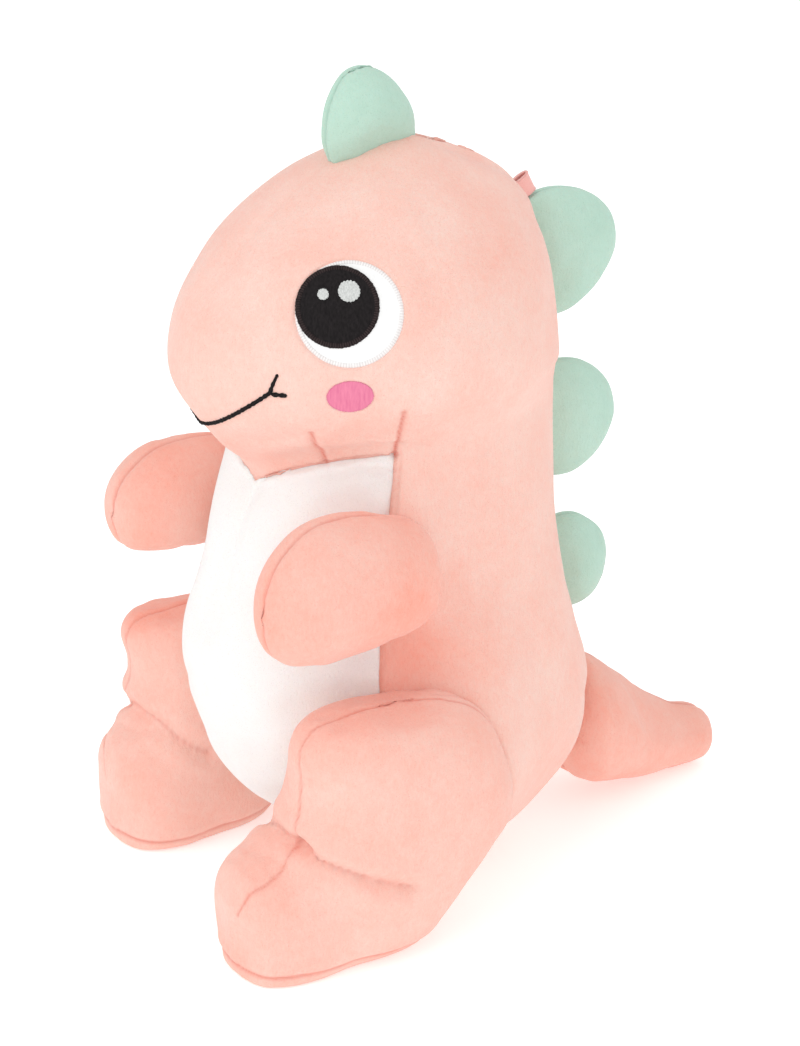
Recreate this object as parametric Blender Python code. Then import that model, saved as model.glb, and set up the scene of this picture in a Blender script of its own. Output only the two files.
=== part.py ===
"""A stuffed dinosaur, about 28 cm tall, modelled piece by piece as it is cut, sewn and stuffed.

The dinosaur faces -Y, its left side is +X, and it stands on the floor at z = 0. Each fabric piece is
a thin shell with its own cut edges, each filling is a solid inside the shells, and sewn-on limbs stop
a few millimetres short of the body, so that they can turn at their seams. All lengths are in metres.
"""

import bisect
import math

import bmesh
import bpy
from mathutils import Vector
from mathutils.bvhtree import BVHTree

MM = 0.001

# Overall sizes of the body and head, which are one sewn bag.
BODY_HEIGHT = 256.5 * MM
BODY_WIDTH = 112.0 * MM
BODY_DEPTH = 149.0 * MM

# Fabric, seams and fits.
FABRIC = 1.6 * MM
SEAM_GAP = 0.4 * MM
FILL_GAP = 0.4 * MM
PATCH_FABRIC = 0.9 * MM
PATCH_GAP = 0.35 * MM
LIMB_CLEARANCE = 3.2 * MM
SPIKE_CLEARANCE = 1.2 * MM
TAIL_CLEARANCE = 2.0 * MM

# Arms. Each has its side, its height at the fullest place, the angle round the body where it is sewn
# on, and the height of that seam. The right one lies turned a little flatter than the left.
ARMS = (
    ("left", 1, 46.5 * MM, 74.0, 0.5127 * BODY_HEIGHT),
    ("right", -1, 37.0 * MM, 80.0, 0.4932 * BODY_HEIGHT),
)
ARM_LENGTH = 64.0 * MM
ARM_THICKNESS = 32.0 * MM
ARM_SEAM_SPREAD = 54.0 * MM

# Legs. Each has its side, how far its foot is from the middle, how far forward its toe reaches, and
# how high its hip is. The right one is pushed further back, out and down than the left.
LEGS = (
    ("left", 1, 44.0 * MM, 104.0 * MM, 70.0 * MM),
    ("right", -1, 59.5 * MM, 90.0 * MM, 63.0 * MM),
)
THIGH_DEPTH = 88.0 * MM
THIGH_THICKNESS = 40.0 * MM
FOOT_WIDTH = 45.0 * MM
LEG_SQUARENESS = 0.8
HIP_SPREAD = 60.0 * MM
HIP_SHARE = 0.2

# Tail.
TAIL_LENGTH = 61.5 * MM
TAIL_ROOT_HEIGHT = 54.0 * MM

# Spikes, from the top of the head down the back. Each has its place along the back seam, measured
# from the highest point of the head, half its length along the seam, and how far it stands out.
SPIKES = (
    ("crown_spike", -5.0 * MM, 16.5 * MM, 25.5 * MM),
    ("nape_spike", 84.0 * MM, 22.0 * MM, 34.0 * MM),
    ("middle_spike", 143.0 * MM, 20.5 * MM, 31.0 * MM),
    ("lower_spike", 198.5 * MM, 17.5 * MM, 25.0 * MM),
)
SPIKE_THICKNESS = 19.0 * MM

# Face. The places are angles round the head from the middle of the face, and heights over the floor.
# The face is sewn on turned a little towards the right side.
FACE_TURN = 6.5
EYE_ANGLE = 60.5
EYE_HEIGHT = 0.8491 * BODY_HEIGHT
EYE_WHITE_WIDTH = 30.5 * MM
PUPIL_WIDTH = 23.0 * MM
PUPIL_FORWARD = 3.7 * MM
PUPIL_UP = 1.9 * MM
THREAD_BORDER = 1.3 * MM
LARGE_GLINT_WIDTH = 6.8 * MM
LARGE_GLINT_PLACE = (3.6 * MM, 4.6 * MM)
SMALL_GLINT_WIDTH = 3.5 * MM
SMALL_GLINT_PLACE = (-4.4 * MM, 3.6 * MM)
GLINT_THICKNESS = 0.6 * MM
CHEEK_ANGLE = 64.0
CHEEK_HEIGHT = 0.7478 * BODY_HEIGHT
CHEEK_WIDTH = 14.5 * MM
CHEEK_TALL = 10.2 * MM
MOUTH_HEIGHT = 0.6706 * BODY_HEIGHT
MOUTH_ANGLE = 40.5
MOUTH_RISE = 0.0788 * BODY_HEIGHT
MOUTH_BEND = 1.71
MOUTH_UPSTROKE = 6.5 * MM
MOUTH_STROKE_START = 1.4
MOUTH_STROKE_TURN = 5.5
MOUTH_THREAD = 1.5 * MM

# Hanging loop of satin ribbon, folded once and caught in the back seam above the nape spike.
LOOP_PLACE = 59.0 * MM
LOOP_WIDTH = 7.0 * MM
LOOP_LENGTH = 8.0 * MM
LOOP_GAP = 2.8 * MM
RIBBON = 0.6 * MM

# Colours, as linear red, green and blue.
PINK = (0.87, 0.43, 0.36)
MINT = (0.55, 0.75, 0.64)
CREAM = (0.90, 0.88, 0.84)
BLACK = (0.012, 0.012, 0.013)
WHITE = (0.85, 0.85, 0.84)
ROSE = (0.80, 0.20, 0.33)
THREAD = (0.72, 0.66, 0.64)
RIBBON_PINK = (0.85, 0.45, 0.42)
FIBRE = (0.82, 0.81, 0.78)

# The body bag, from the crown down. Each row is a level round the bag: its height, its front and
# back, where it is widest, its half width, and how far its sides are lifted above its front.
BODY_LEVELS = (
    (256.5, -4, -4, -4, 0, 0),
    (252, -19, 16, -6, 13, 0),
    (240, -42, 38, -8, 33, 0),
    (223, -63, 49, -10, 49, 0),
    (203, -76, 54, -12, 56, 0),
    (182, -78, 56, -10, 56, 3),
    (165, -67, 56, -6, 51, 10),
    (150, -54, 57, -4, 47, 17),
    (124, -65, 58, -4, 50, 4),
    (90, -74, 62, -4, 54, 0),
    (58, -68, 71, -2, 54, 0),
    (33, -51, 67, 2, 46, 0),
    (13, -24, 42, 10, 30, 0),
    (6, 22, 22, 22, 0, 0),
)
CHIN_LEVEL = 7
UNDER_LEVEL = 12
TAIL_LEVEL = 10
BELLY_SEAM_ANGLE = 62.0
HEIGHT_SCALE = BODY_HEIGHT / max(row[0] for row in BODY_LEVELS)
WIDTH_SCALE = BODY_WIDTH / (2 * max(row[4] for row in BODY_LEVELS))
DEPTH_SCALE = BODY_DEPTH / (max(row[2] for row in BODY_LEVELS) - min(row[1] for row in BODY_LEVELS))


def spline(before, start, end, after, share):
    """One number on the smooth curve that runs from start to end."""
    a = -before + 3 * start - 3 * end + after
    b = 2 * before - 5 * start + 4 * end - after
    c = end - before
    return start + 0.5 * share * (c + share * (b + share * a))


def across_pole(row):
    """A level as seen from the other side of the crown or the base, where the bag closes."""
    height, front, back, widest, half_width, lift = row
    return (height, back, front, widest, -half_width, lift)


def body_level(level):
    """The six numbers of the bag at any level between two rows of the table."""
    last = len(BODY_LEVELS) - 1
    index = min(int(level), last - 1)
    start = BODY_LEVELS[index]
    end = BODY_LEVELS[index + 1]
    before = BODY_LEVELS[index - 1] if index > 0 else across_pole(end)
    after = BODY_LEVELS[index + 2] if index + 2 <= last else across_pole(start)
    share = level - index
    return [spline(*numbers, share) for numbers in zip(before, start, end, after)]


def body_point(angle, level):
    """A point of the bag's surface. The angle is in degrees, from the front towards the left side."""
    height, front, back, widest, half_width, lift = body_level(level)
    turn = math.radians(angle)
    ahead = math.cos(turn)
    depth = widest - front if ahead > 0 else back - widest
    around = abs((angle + 180) % 360 - 180)
    rise = lift * math.sin(math.radians(90 * min(around / BELLY_SEAM_ANGLE, 1)))
    return Vector(
        (
            half_width * math.sin(turn) * WIDTH_SCALE,
            (widest - depth * ahead) * DEPTH_SCALE,
            (height + rise) * HEIGHT_SCALE,
        )
    )


def level_at(angle, height):
    """The level at which the surface has a given height, at a given angle."""
    high = 0.0
    low = float(len(BODY_LEVELS) - 1)
    for _ in range(40):
        middle = (high + low) / 2
        if body_point(angle, middle).z > height:
            high = middle
        else:
            low = middle
    return (high + low) / 2


class Surface:
    """A closed surface of rings between two end points, with smooth normals that face out."""

    def __init__(self, rings):
        self.columns = len(rings[1])
        self.rows = len(rings) - 1
        self.points = [point for ring in rings for point in ring]
        self.faces = {}
        starts = [0]
        for ring in rings:
            starts.append(starts[-1] + len(ring))
        for row in range(self.rows):
            upper, lower = rings[row], rings[row + 1]
            for column in range(self.columns):
                following = (column + 1) % self.columns
                corners = []
                if len(upper) > 1:
                    corners += [starts[row] + following, starts[row] + column]
                else:
                    corners.append(starts[row])
                if len(lower) > 1:
                    corners += [starts[row + 1] + column, starts[row + 1] + following]
                else:
                    corners.append(starts[row + 1])
                self.faces[row, column] = corners
        self.normals = self.smooth_normals()

    def smooth_normals(self):
        mesh = bmesh.new()
        points = [mesh.verts.new(point) for point in self.points]
        for corners in self.faces.values():
            mesh.faces.new([points[corner] for corner in corners])
        mesh.normal_update()
        normals = [point.normal * point.calc_shell_factor() for point in points]
        mesh.free()
        return normals

    def inset(self, amount):
        """A copy with every point moved inwards by one even amount."""
        copy = object.__new__(Surface)
        copy.columns, copy.rows, copy.faces = self.columns, self.rows, self.faces
        copy.points = [point - normal * amount for point, normal in zip(self.points, self.normals)]
        copy.normals = copy.smooth_normals()
        return copy

    def keep_off(self, tree, clearance, floor=None):
        """Moves each point that is too near the body straight out, and flattens what is on the floor."""
        for index, point in enumerate(self.points):
            place, normal, _, _ = tree.find_nearest(point)
            if (point - place).dot(normal) < clearance:
                self.points[index] = place + normal * clearance
        if floor is not None:
            for point in self.points:
                point.z = max(point.z, floor)
        self.normals = self.smooth_normals()


def collection():
    return bpy.context.scene.collection


def material(name, colour, roughness):
    found = bpy.data.materials.get(name)
    if found:
        return found
    made = bpy.data.materials.new(name)
    made.use_nodes = True
    shader = made.node_tree.nodes["Principled BSDF"]
    shader.inputs["Base Color"].default_value = (*colour, 1.0)
    shader.inputs["Roughness"].default_value = roughness
    shader.inputs["Metallic"].default_value = 0.0
    return made


def add_object(name, points, faces, finish, pivot=None):
    """One closed mesh object. Its origin is the pivot, where it has one."""
    origin = Vector(pivot or (0, 0, 0))
    mesh = bpy.data.meshes.new(name)
    mesh.from_pydata([point - origin for point in points], [], faces)
    mesh.shade_smooth()
    mesh.materials.append(finish)
    made = bpy.data.objects.new(name, mesh)
    made.location = origin
    collection().objects.link(made)
    return made


def layers(free, tree=None, clearance=0.0, floor=None):
    """The outside of a stuffed piece, the inside of its fabric, and the outside of its filling."""
    made = []
    for depth in (0.0, FABRIC, FABRIC + FILL_GAP):
        layer = free.inset(depth)
        if tree:
            layer.keep_off(tree, clearance + depth, None if floor is None else floor + depth)
        made.append(layer)
    return made


def add_shell(name, outside, lining, kept, finish, pivot=None):
    """A fabric panel: the kept faces between two layers, drawn in by half the seam gap at its edges."""
    faces = [outside.faces[key] for key in sorted(outside.faces) if kept(*key)]
    edges = {}
    for corners in faces:
        for start, end in zip(corners, corners[1:] + corners[:1]):
            key = frozenset((start, end))
            edges[key] = None if key in edges else (start, end)
    rim = [edge for edge in edges.values() if edge]
    across_seam = {}
    for start, end in rim:
        along = (outside.points[end] - outside.points[start]).normalized()
        for corner in (start, end):
            away = outside.normals[corner].cross(along).normalized()
            across_seam.setdefault(corner, []).append(away)
    used = sorted({corner for corners in faces for corner in corners})
    order = {corner: index for index, corner in enumerate(used)}
    points = []
    for layer, floor in ((outside, 0.0), (lining, FABRIC)):
        for corner in used:
            point = layer.points[corner].copy()
            if corner in across_seam:
                first, second = across_seam[corner]
                point += (first + second) * (SEAM_GAP / 2 / (1 + first.dot(second)))
            point.z = max(point.z, floor)
            points.append(point)
    count = len(used)
    solid = []
    for triangle in (part for corners in faces for part in split(corners)):
        solid.append([order[corner] for corner in triangle])
        solid.append([order[corner] + count for corner in reversed(triangle)])
    for start, end in rim:
        a, b = order[start], order[end]
        solid += split([b, a, a + count, b + count])
    return add_object(name, points, solid, finish, pivot)


def add_filling(name, surface, finish, pivot=None):
    """The stuffing inside a piece."""
    solid = [triangle for corners in surface.faces.values() for triangle in split(corners)]
    return add_object(name, surface.points, solid, finish, pivot)


def body_surface(columns_ahead, columns_behind, steps):
    """The whole bag. Columns ahead lie in front of each belly seam, columns behind lie after it."""
    half = [BELLY_SEAM_ANGLE * i / columns_ahead for i in range(columns_ahead)]
    rest = 180 - BELLY_SEAM_ANGLE
    half += [BELLY_SEAM_ANGLE + rest * i / columns_behind for i in range(columns_behind)]
    angles = half + [180.0] + [360 - angle for angle in reversed(half[1:])]
    last = len(BODY_LEVELS) - 1
    rings = [[body_point(0, 0)]]
    for step in range(1, last * steps):
        rings.append([body_point(angle, step / steps) for angle in angles])
    rings.append([body_point(0, last)])
    return Surface(rings)


def split(corners):
    """A face as triangles, always along the same diagonal, so that nested pieces have parallel faces."""
    return [[corners[0], corners[i], corners[i + 1]] for i in range(1, len(corners) - 1)]


def mirrored(point, side):
    return Vector((point[0] * side, point[1], point[2]))


def oval_ring(centre, long_axis, short_axis, count, power):
    """A ring of points round a centre. It starts on the long axis and turns towards the short one.

    With a power of 1 it is an ellipse, and with a smaller one it is squarer.
    """
    ring = []
    for step in range(count):
        turn = 2 * math.pi * step / count
        along, across = [math.copysign(abs(wave) ** power, wave)
                         for wave in (math.cos(turn), math.sin(turn))]
        ring.append(centre + long_axis * along + short_axis * across)
    return ring


def loft(path, columns, power=1.0):
    """A closed surface along a path of (centre, long axis, short axis), with a point at each end."""
    rings = [[path[0][0]]]
    rings += [oval_ring(*station, columns, power) for station in path[1:-1]]
    rings.append([path[-1][0]])
    return Surface(rings)


def build_body(tree_surface):
    pink = material("pink_velour", PINK, 0.95)
    cream = material("white_velour", CREAM, 0.95)
    fibre = material("polyester_fibre", FIBRE, 1.0)
    ahead, behind, steps = 4, 8, 2
    bag = body_surface(ahead, behind, steps)
    half = ahead + behind
    chin = CHIN_LEVEL * steps
    under = UNDER_LEVEL * steps

    def belly(row, column):
        return chin <= row < under and (column < ahead or column >= 2 * half - ahead)

    def left(row, column):
        return column < half and not belly(row, column)

    def right(row, column):
        return column >= half and not belly(row, column)

    outside, lining, filling = layers(bag)
    add_shell("left_body_panel", outside, lining, left, pink)
    add_shell("right_body_panel", outside, lining, right, pink)
    add_shell("belly_panel", outside, lining, belly, cream)
    add_filling("body_stuffing", filling, fibre)
    return BVHTree.FromPolygons(tree_surface.points, list(tree_surface.faces.values()))


def arm_path(side, height, angle, seam_height):
    """Stations of an arm from its seam to its tip: distance along it, and shares of its size."""
    stations = (
        (0.00, 0.0, 0.0, 0.0),
        (0.07, 0.62, 0.66, 0.0),
        (0.26, 0.88, 0.90, 0.5),
        (0.51, 1.00, 1.00, 1.0),
        (0.74, 0.95, 0.98, 0.6),
        (0.92, 0.62, 0.68, -1.8),
        (1.00, 0.0, 0.0, -3.0),
    )
    root = body_point(angle, level_at(angle, seam_height))
    path = []
    for share, tall, thick, rise in stations:
        centre = Vector((ARM_SEAM_SPREAD, root.y - ARM_LENGTH * share, root.z + rise * MM))
        long_axis = Vector((0, 0, height / 2 * tall))
        short_axis = Vector((ARM_THICKNESS / 2 * thick, 0, 0))
        path.append((mirrored(centre, side), long_axis, short_axis))
    return path


def build_arms(tree):
    pink = material("pink_velour", PINK, 0.95)
    fibre = material("polyester_fibre", FIBRE, 1.0)
    columns = 16
    for word, side, *places in ARMS:
        path = arm_path(side, *places)
        outside, lining, filling = layers(loft(path, columns), tree, LIMB_CLEARANCE)
        pivot = outside.points[0]

        def outer(row, column, side=side):
            return (column < columns // 2) == (side > 0)

        def inner(row, column, side=side):
            return not outer(row, column, side)

        add_shell(word + "_arm_outer_panel", outside, lining, outer, pink, pivot)
        add_shell(word + "_arm_inner_panel", outside, lining, inner, pink, pivot)
        add_filling(word + "_arm_stuffing", filling, fibre, pivot)


def leg_path(side, foot_spread, reach, hip_height):
    """Stations of a leg from the top of the thigh to the toe, in the plane of the leg.

    Each row is the share of the reach, the height over the floor in shares of the hip height, the
    direction that the leg runs in, in degrees below level, the share of the thigh's depth, the share
    of the width there, and how much of the way from thigh to foot the place is.
    """
    stations = (
        (0.365, 1.31, 84, 0.0, 0.0, 0.0),
        (0.365, 1.27, 84, 0.52, 0.60, 0.0),
        (0.355, 1.15, 76, 0.80, 0.90, 0.0),
        (0.337, 0.90, 65, 1.00, 1.00, 0.1),
        (0.41, 0.65, 52, 0.91, 1.02, 0.3),
        (0.50, 0.39, 40, 0.81, 1.02, 0.6),
        (0.62, 0.31, 22, 0.66, 1.00, 0.9),
        (0.71, 0.25, 12, 0.60, 0.98, 1.0),
        (0.80, 0.228, 6, 0.54, 0.86, 1.0),
        (0.86, 0.222, 2, 0.41, 0.61, 1.0),
        (0.888, 0.22, 0, 0.0, 0.0, 1.0),
    )
    path = []
    for share, height, slope, deep, wide, footward in stations:
        turn = math.radians(slope)
        spread = HIP_SPREAD + (foot_spread - HIP_SPREAD) * footward
        width = THIGH_THICKNESS + (FOOT_WIDTH - THIGH_THICKNESS) * footward
        centre = Vector((spread * side, -reach * share, hip_height * height))
        across = Vector((0, -math.sin(turn), math.cos(turn)))
        path.append((centre, across * (THIGH_DEPTH / 2 * deep), Vector((width / 2 * wide, 0, 0))))
    return path


def build_legs(tree):
    pink = material("pink_velour", PINK, 0.95)
    fibre = material("polyester_fibre", FIBRE, 1.0)
    columns = 20
    for word, side, foot_spread, reach, hip_height in LEGS:
        free = loft(leg_path(side, foot_spread, reach, hip_height), columns, LEG_SQUARENESS)
        outside, lining, filling = layers(free, tree, LIMB_CLEARANCE, 0.0)
        pivot = Vector((HIP_SPREAD * side, -reach * HIP_SHARE, hip_height))

        def sole(row, column):
            return all(outside.points[corner].z < 0.01 * MM for corner in outside.faces[row, column])

        def outer(row, column, side=side):
            return (column < columns // 2) == (side > 0) and not sole(row, column)

        def inner(row, column, side=side):
            return (column < columns // 2) != (side > 0) and not sole(row, column)

        add_shell(word + "_leg_outer_panel", outside, lining, outer, pink, pivot)
        add_shell(word + "_leg_inner_panel", outside, lining, inner, pink, pivot)
        add_shell(word + "_sole", outside, lining, sole, pink, pivot)
        add_filling(word + "_leg_stuffing", filling, fibre, pivot)


def build_tail(tree):
    """The tail is one cone of two halves, which stays on the floor along its underside."""
    pink = material("pink_velour", PINK, 0.95)
    fibre = material("polyester_fibre", FIBRE, 1.0)
    columns = 20
    stations = (
        (0.00, 0.62, 0.0),
        (0.05, 0.63, 0.80),
        (0.16, 0.59, 0.91),
        (0.34, 0.475, 0.79),
        (0.54, 0.34, 0.64),
        (0.75, 0.25, 0.475),
        (0.92, 0.215, 0.38),
        (0.985, 0.21, 0.22),
        (1.00, 0.21, 0.0),
    )
    root = Vector((0, BODY_LEVELS[TAIL_LEVEL][2] * DEPTH_SCALE + TAIL_CLEARANCE, 0))
    path = []
    for share, height, radius in stations:
        centre = root + Vector((0, TAIL_LENGTH * share, TAIL_ROOT_HEIGHT * height))
        up = Vector((0, 0, TAIL_ROOT_HEIGHT / 2 * radius))
        path.append((centre, up, Vector((-up.z, 0, 0))))
    outside, lining, filling = layers(loft(path, columns), tree, TAIL_CLEARANCE, 0.0)
    pivot = outside.points[0]

    def right(row, column):
        return column < columns // 2

    def left(row, column):
        return not right(row, column)

    add_shell("left_tail_panel", outside, lining, left, pink, pivot)
    add_shell("right_tail_panel", outside, lining, right, pink, pivot)
    add_filling("tail_stuffing", filling, fibre, pivot)


def back_seam():
    """Points of the centre line from the muzzle over the head and down the back, with distances."""
    steps = 16
    points = [body_point(0, level / steps) for level in range(4 * steps, 0, -1)]
    crown = len(points)
    points += [body_point(180, level / steps) for level in range(0, UNDER_LEVEL * steps)]
    distances = [0.0]
    for before, after in zip(points, points[1:]):
        distances.append(distances[-1] + (after - before).length)
    zero = distances[crown]
    return points, [distance - zero for distance in distances]


def along_seam(seam, distance):
    """The point of the back seam at a distance, its direction there, and the way out of the body."""
    points, distances = seam
    index = bisect.bisect_right(distances, distance) - 1
    start, end = points[index], points[index + 1]
    share = (distance - distances[index]) / (distances[index + 1] - distances[index])
    wide = 6
    along = (points[index + 1 + wide] - points[index - wide]).normalized()
    return start.lerp(end, share), along, Vector((1, 0, 0)).cross(along)


def build_spikes(tree):
    mint = material("mint_velour", MINT, 0.95)
    fibre = material("polyester_fibre", FIBRE, 1.0)
    columns = 16
    shape = (
        (0.00, 0.0, 0.0),
        (0.00, 0.90, 0.40),
        (0.13, 1.00, 0.78),
        (0.38, 0.99, 1.00),
        (0.64, 0.84, 0.90),
        (0.85, 0.57, 0.64),
        (0.96, 0.30, 0.34),
        (1.00, 0.0, 0.0),
    )
    seam = back_seam()
    for name, place, half_length, height in SPIKES:
        base, along, out = along_seam(seam, place)
        rings = []
        for share, long_share, thick_share in shape:
            ring = []
            for step in range(columns if long_share else 1):
                turn = 2 * math.pi * step / columns
                distance = place + half_length * long_share * math.cos(turn)
                centre = along_seam(seam, distance if long_share else place)[0]
                side = Vector((SPIKE_THICKNESS / 2 * thick_share * math.sin(turn), 0, 0))
                lift = SPIKE_CLEARANCE + height * share
                ring.append(centre + side + out * lift)
            rings.append(ring)
        outside, lining, filling = layers(Surface(rings), tree, SPIKE_CLEARANCE)

        def left(row, column):
            return column < columns // 2

        def right(row, column):
            return not left(row, column)

        add_shell(name + "_left_panel", outside, lining, left, mint, base)
        add_shell(name + "_right_panel", outside, lining, right, mint, base)
        add_filling(name + "_stuffing", filling, fibre, base)


class Patch:
    """A place on the head where flat pieces lie, measured backwards and upwards from its centre."""

    def __init__(self, tree, angle, height):
        self.tree = tree
        self.centre = body_point(angle, level_at(angle, height))
        step = 3.0
        behind = body_point(angle + step, level_at(angle + step, height))
        ahead = body_point(angle - step, level_at(angle - step, height))
        above = body_point(angle, level_at(angle, height + step * MM))
        below = body_point(angle, level_at(angle, height - step * MM))
        self.back = (behind - ahead).normalized()
        self.out = self.back.cross(above - below).normalized()
        self.up = self.out.cross(self.back)

    def point(self, back, up, lift):
        """The point over the head at a place, found straight along the patch's way out."""
        start = self.centre + self.back * back + self.up * up + self.out * (30 * MM)
        return self.tree.ray_cast(start, -self.out)[0] + self.out * lift


def oval_piece(patch, ovals, rings, low, high):
    """Points and faces of a plate between two lifts over the head.

    Each oval is (backward, upward, half width, half height), from the inner edge to the outer;
    an inner oval of no size closes the plate, any other leaves a hole.
    """
    columns = 24
    inner, outer = ovals
    closed = inner[2] == 0
    outline = []
    for ring in range(rings + 1):
        share = ring / rings
        oval = [a + (b - a) * share for a, b in zip(inner, outer)]
        count = 1 if closed and ring == 0 else columns
        turns = [2 * math.pi * step / columns for step in range(count)]
        outline.append([(oval[0] + oval[2] * math.cos(turn), oval[1] + oval[3] * math.sin(turn))
                        for turn in turns])
    points = []
    index = []
    for lift in (low, high):
        layer = []
        for ring in outline:
            layer.append([len(points) + step for step in range(len(ring))])
            points.extend(patch.point(back, up, lift) for back, up in ring)
        index.append(layer)
    faces = []
    under, over = index
    for ring in range(rings):
        for step in range(columns):
            following = (step + 1) % columns
            for layer, flip in ((over, False), (under, True)):
                inside, beyond = layer[ring], layer[ring + 1]
                if len(inside) == 1:
                    face = [inside[0], beyond[step], beyond[following]]
                else:
                    face = [inside[step], beyond[step], beyond[following], inside[following]]
                faces.append(face[::-1] if flip else face)
    edges = [(under[-1], over[-1])] + ([] if closed else [(over[0], under[0])])
    for low_ring, high_ring in edges:
        for step in range(columns):
            following = (step + 1) % columns
            faces.append([low_ring[step], low_ring[following], high_ring[following],
                          high_ring[step]])
    return points, faces


def add_patch(name, side, points, faces, finish):
    """A flat piece of the face, shaped on the left side of the head and turned over for the right."""
    if side < 0:
        points = [Vector((-point.x, point.y, point.z)) for point in points]
        faces = [face[::-1] for face in faces]
    add_object(name, points, faces, finish, Vector((0, 0, 0)))


def build_face(tree):
    white = material("white_cloth", WHITE, 0.9)
    satin = material("pale_thread", THREAD, 0.5)
    black = material("black_thread", BLACK, 0.45)
    rose = material("rose_thread", ROSE, 0.6)
    for word, side in (("left_", 1), ("right_", -1)):
        eye = Patch(tree, EYE_ANGLE - FACE_TURN * side, EYE_HEIGHT)
        low = PATCH_GAP
        high = low + PATCH_FABRIC
        half = EYE_WHITE_WIDTH / 2
        border = half + PATCH_GAP
        points, faces = oval_piece(eye, ((0, 0, 0, 0), (0, 0, half, half)), 3, low, high)
        add_patch(word + "eye_white", side, points, faces, white)
        ovals = ((0, 0, border, border), (0, 0, border + THREAD_BORDER, border + THREAD_BORDER))
        points, faces = oval_piece(eye, ovals, 1, low, high)
        add_patch(word + "eye_border", side, points, faces, satin)
        low = high + PATCH_GAP
        high = low + PATCH_FABRIC
        place = (-PUPIL_FORWARD, PUPIL_UP)
        half = PUPIL_WIDTH / 2
        border = half + PATCH_GAP
        points, faces = oval_piece(eye, (place + (0, 0), place + (half, half)), 2, low, high)
        add_patch(word + "pupil", side, points, faces, black)
        ovals = (place + (border, border), place + (border + THREAD_BORDER, border + THREAD_BORDER))
        points, faces = oval_piece(eye, ovals, 1, low, high)
        add_patch(word + "pupil_border", side, points, faces, black)
        low = high + PATCH_GAP
        high = low + GLINT_THICKNESS
        for name, size, (back, up) in (("large_glint", LARGE_GLINT_WIDTH, LARGE_GLINT_PLACE),
                                       ("small_glint", SMALL_GLINT_WIDTH, SMALL_GLINT_PLACE)):
            place = (back - PUPIL_FORWARD, up + PUPIL_UP)
            ovals = (place + (0, 0), place + (size / 2, size / 2))
            points, faces = oval_piece(eye, ovals, 1, low, high)
            add_patch(word + name, side, points, faces, white)
        cheek = Patch(tree, CHEEK_ANGLE - FACE_TURN * side, CHEEK_HEIGHT)
        ovals = ((0, 0, 0, 0), (0, 0, CHEEK_WIDTH / 2, CHEEK_TALL / 2))
        points, faces = oval_piece(cheek, ovals, 2, PATCH_GAP, PATCH_GAP + PATCH_FABRIC)
        add_patch(word + "cheek", side, points, faces, rose)


def seam_point(tree, angle, height, lift):
    """A point at a lift over the body, and the way out of the body there."""
    place = body_point(angle, level_at(angle, height))
    place, normal, _, _ = tree.find_nearest(place)
    return place + normal * lift, normal


def thread(tree, places):
    """Points and faces of a round thread laid over the body along places (angle, height)."""
    columns = 6
    line = [seam_point(tree, angle, height, PATCH_GAP + MOUTH_THREAD / 2)
            for angle, height in places]
    rings = [[line[0][0]]]
    for before, (centre, out), after in zip(line, line[1:-1], line[2:]):
        along = (after[0] - before[0]).normalized()
        side = along.cross(out).normalized() * (MOUTH_THREAD / 2)
        over = out * (MOUTH_THREAD / 2)
        turns = [2 * math.pi * step / columns for step in range(columns)]
        rings.append([centre + side * math.cos(turn) + over * math.sin(turn) for turn in turns])
    rings.append([line[-1][0]])
    surface = Surface(rings)
    return surface.points, [surface.faces[key] for key in sorted(surface.faces)]


def smile_height(angle):
    return MOUTH_HEIGHT + MOUTH_RISE * (abs(angle) / MOUTH_ANGLE) ** MOUTH_BEND


def turned(places):
    """Places measured from the middle of the face, as angles from the front of the head."""
    return [(angle - FACE_TURN, height) for angle, height in places]


def build_mouth(tree):
    """The smile is one line of thread; a second short stroke leaves it at each end."""
    black = material("black_thread", BLACK, 0.45)
    steps = 15
    smile = [(MOUTH_ANGLE * step / steps, smile_height(MOUTH_ANGLE * step / steps))
             for step in range(-steps, steps + 1)]
    end = (MOUTH_ANGLE + 2, smile_height(MOUTH_ANGLE) + MOUTH_UPSTROKE)
    half = ((smile[-1][0] + end[0]) / 2, (smile[-1][1] + end[1]) / 2)
    start, middle = [(-angle, height) for angle, height in (end, half)]
    points, faces = thread(tree, turned([start, middle] + smile + [half, end]))
    add_object("mouth_line", points, faces, black)
    for word, side in (("left_", 1), ("right_", -1)):
        stroke = [(side * (smile[-1][0] + MOUTH_STROKE_START + MOUTH_STROKE_TURN * step / 3),
                   smile[-1][1] + 0.2 * MM * step) for step in range(4)]
        points, faces = thread(tree, turned(stroke))
        add_object(word + "mouth_stroke", points, faces, black)


def build_loop():
    """One strip of ribbon, folded at its middle, with both ends down at the seam."""
    satin = material("satin_ribbon", RIBBON_PINK, 0.35)
    base, along, out = along_seam(back_seam(), LOOP_PLACE)
    half_gap = LOOP_GAP / 2
    fold = ((0.45, 0.07), (0.85, 0.30), (1.0, 0.60), (0.80, 0.86), (0.36, 0.975))
    profile = [(-wide, high) for wide, high in fold] + list(reversed(fold))
    line = [Vector((wide * half_gap, 0, 0)) + out * (high * LOOP_LENGTH) for wide, high in profile]
    points = []
    for index, place in enumerate(line):
        before = line[max(index - 1, 0)]
        after = line[min(index + 1, len(line) - 1)]
        across = (after - before).normalized().cross(along) * (RIBBON / 2)
        width = along * (LOOP_WIDTH / 2)
        for corner in (-across - width, across - width, across + width, width - across):
            points.append(base + place + corner)
    faces = [[0, 1, 2, 3]]
    for index in range(len(line) - 1):
        first = 4 * index
        for side in range(4):
            following = (side + 1) % 4
            faces.append([first + side, first + 4 + side, first + 4 + following,
                          first + following])
    last = 4 * (len(line) - 1)
    faces.append([last + 3, last + 2, last + 1, last])
    add_object("hang_loop", points, faces, satin, base)


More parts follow.
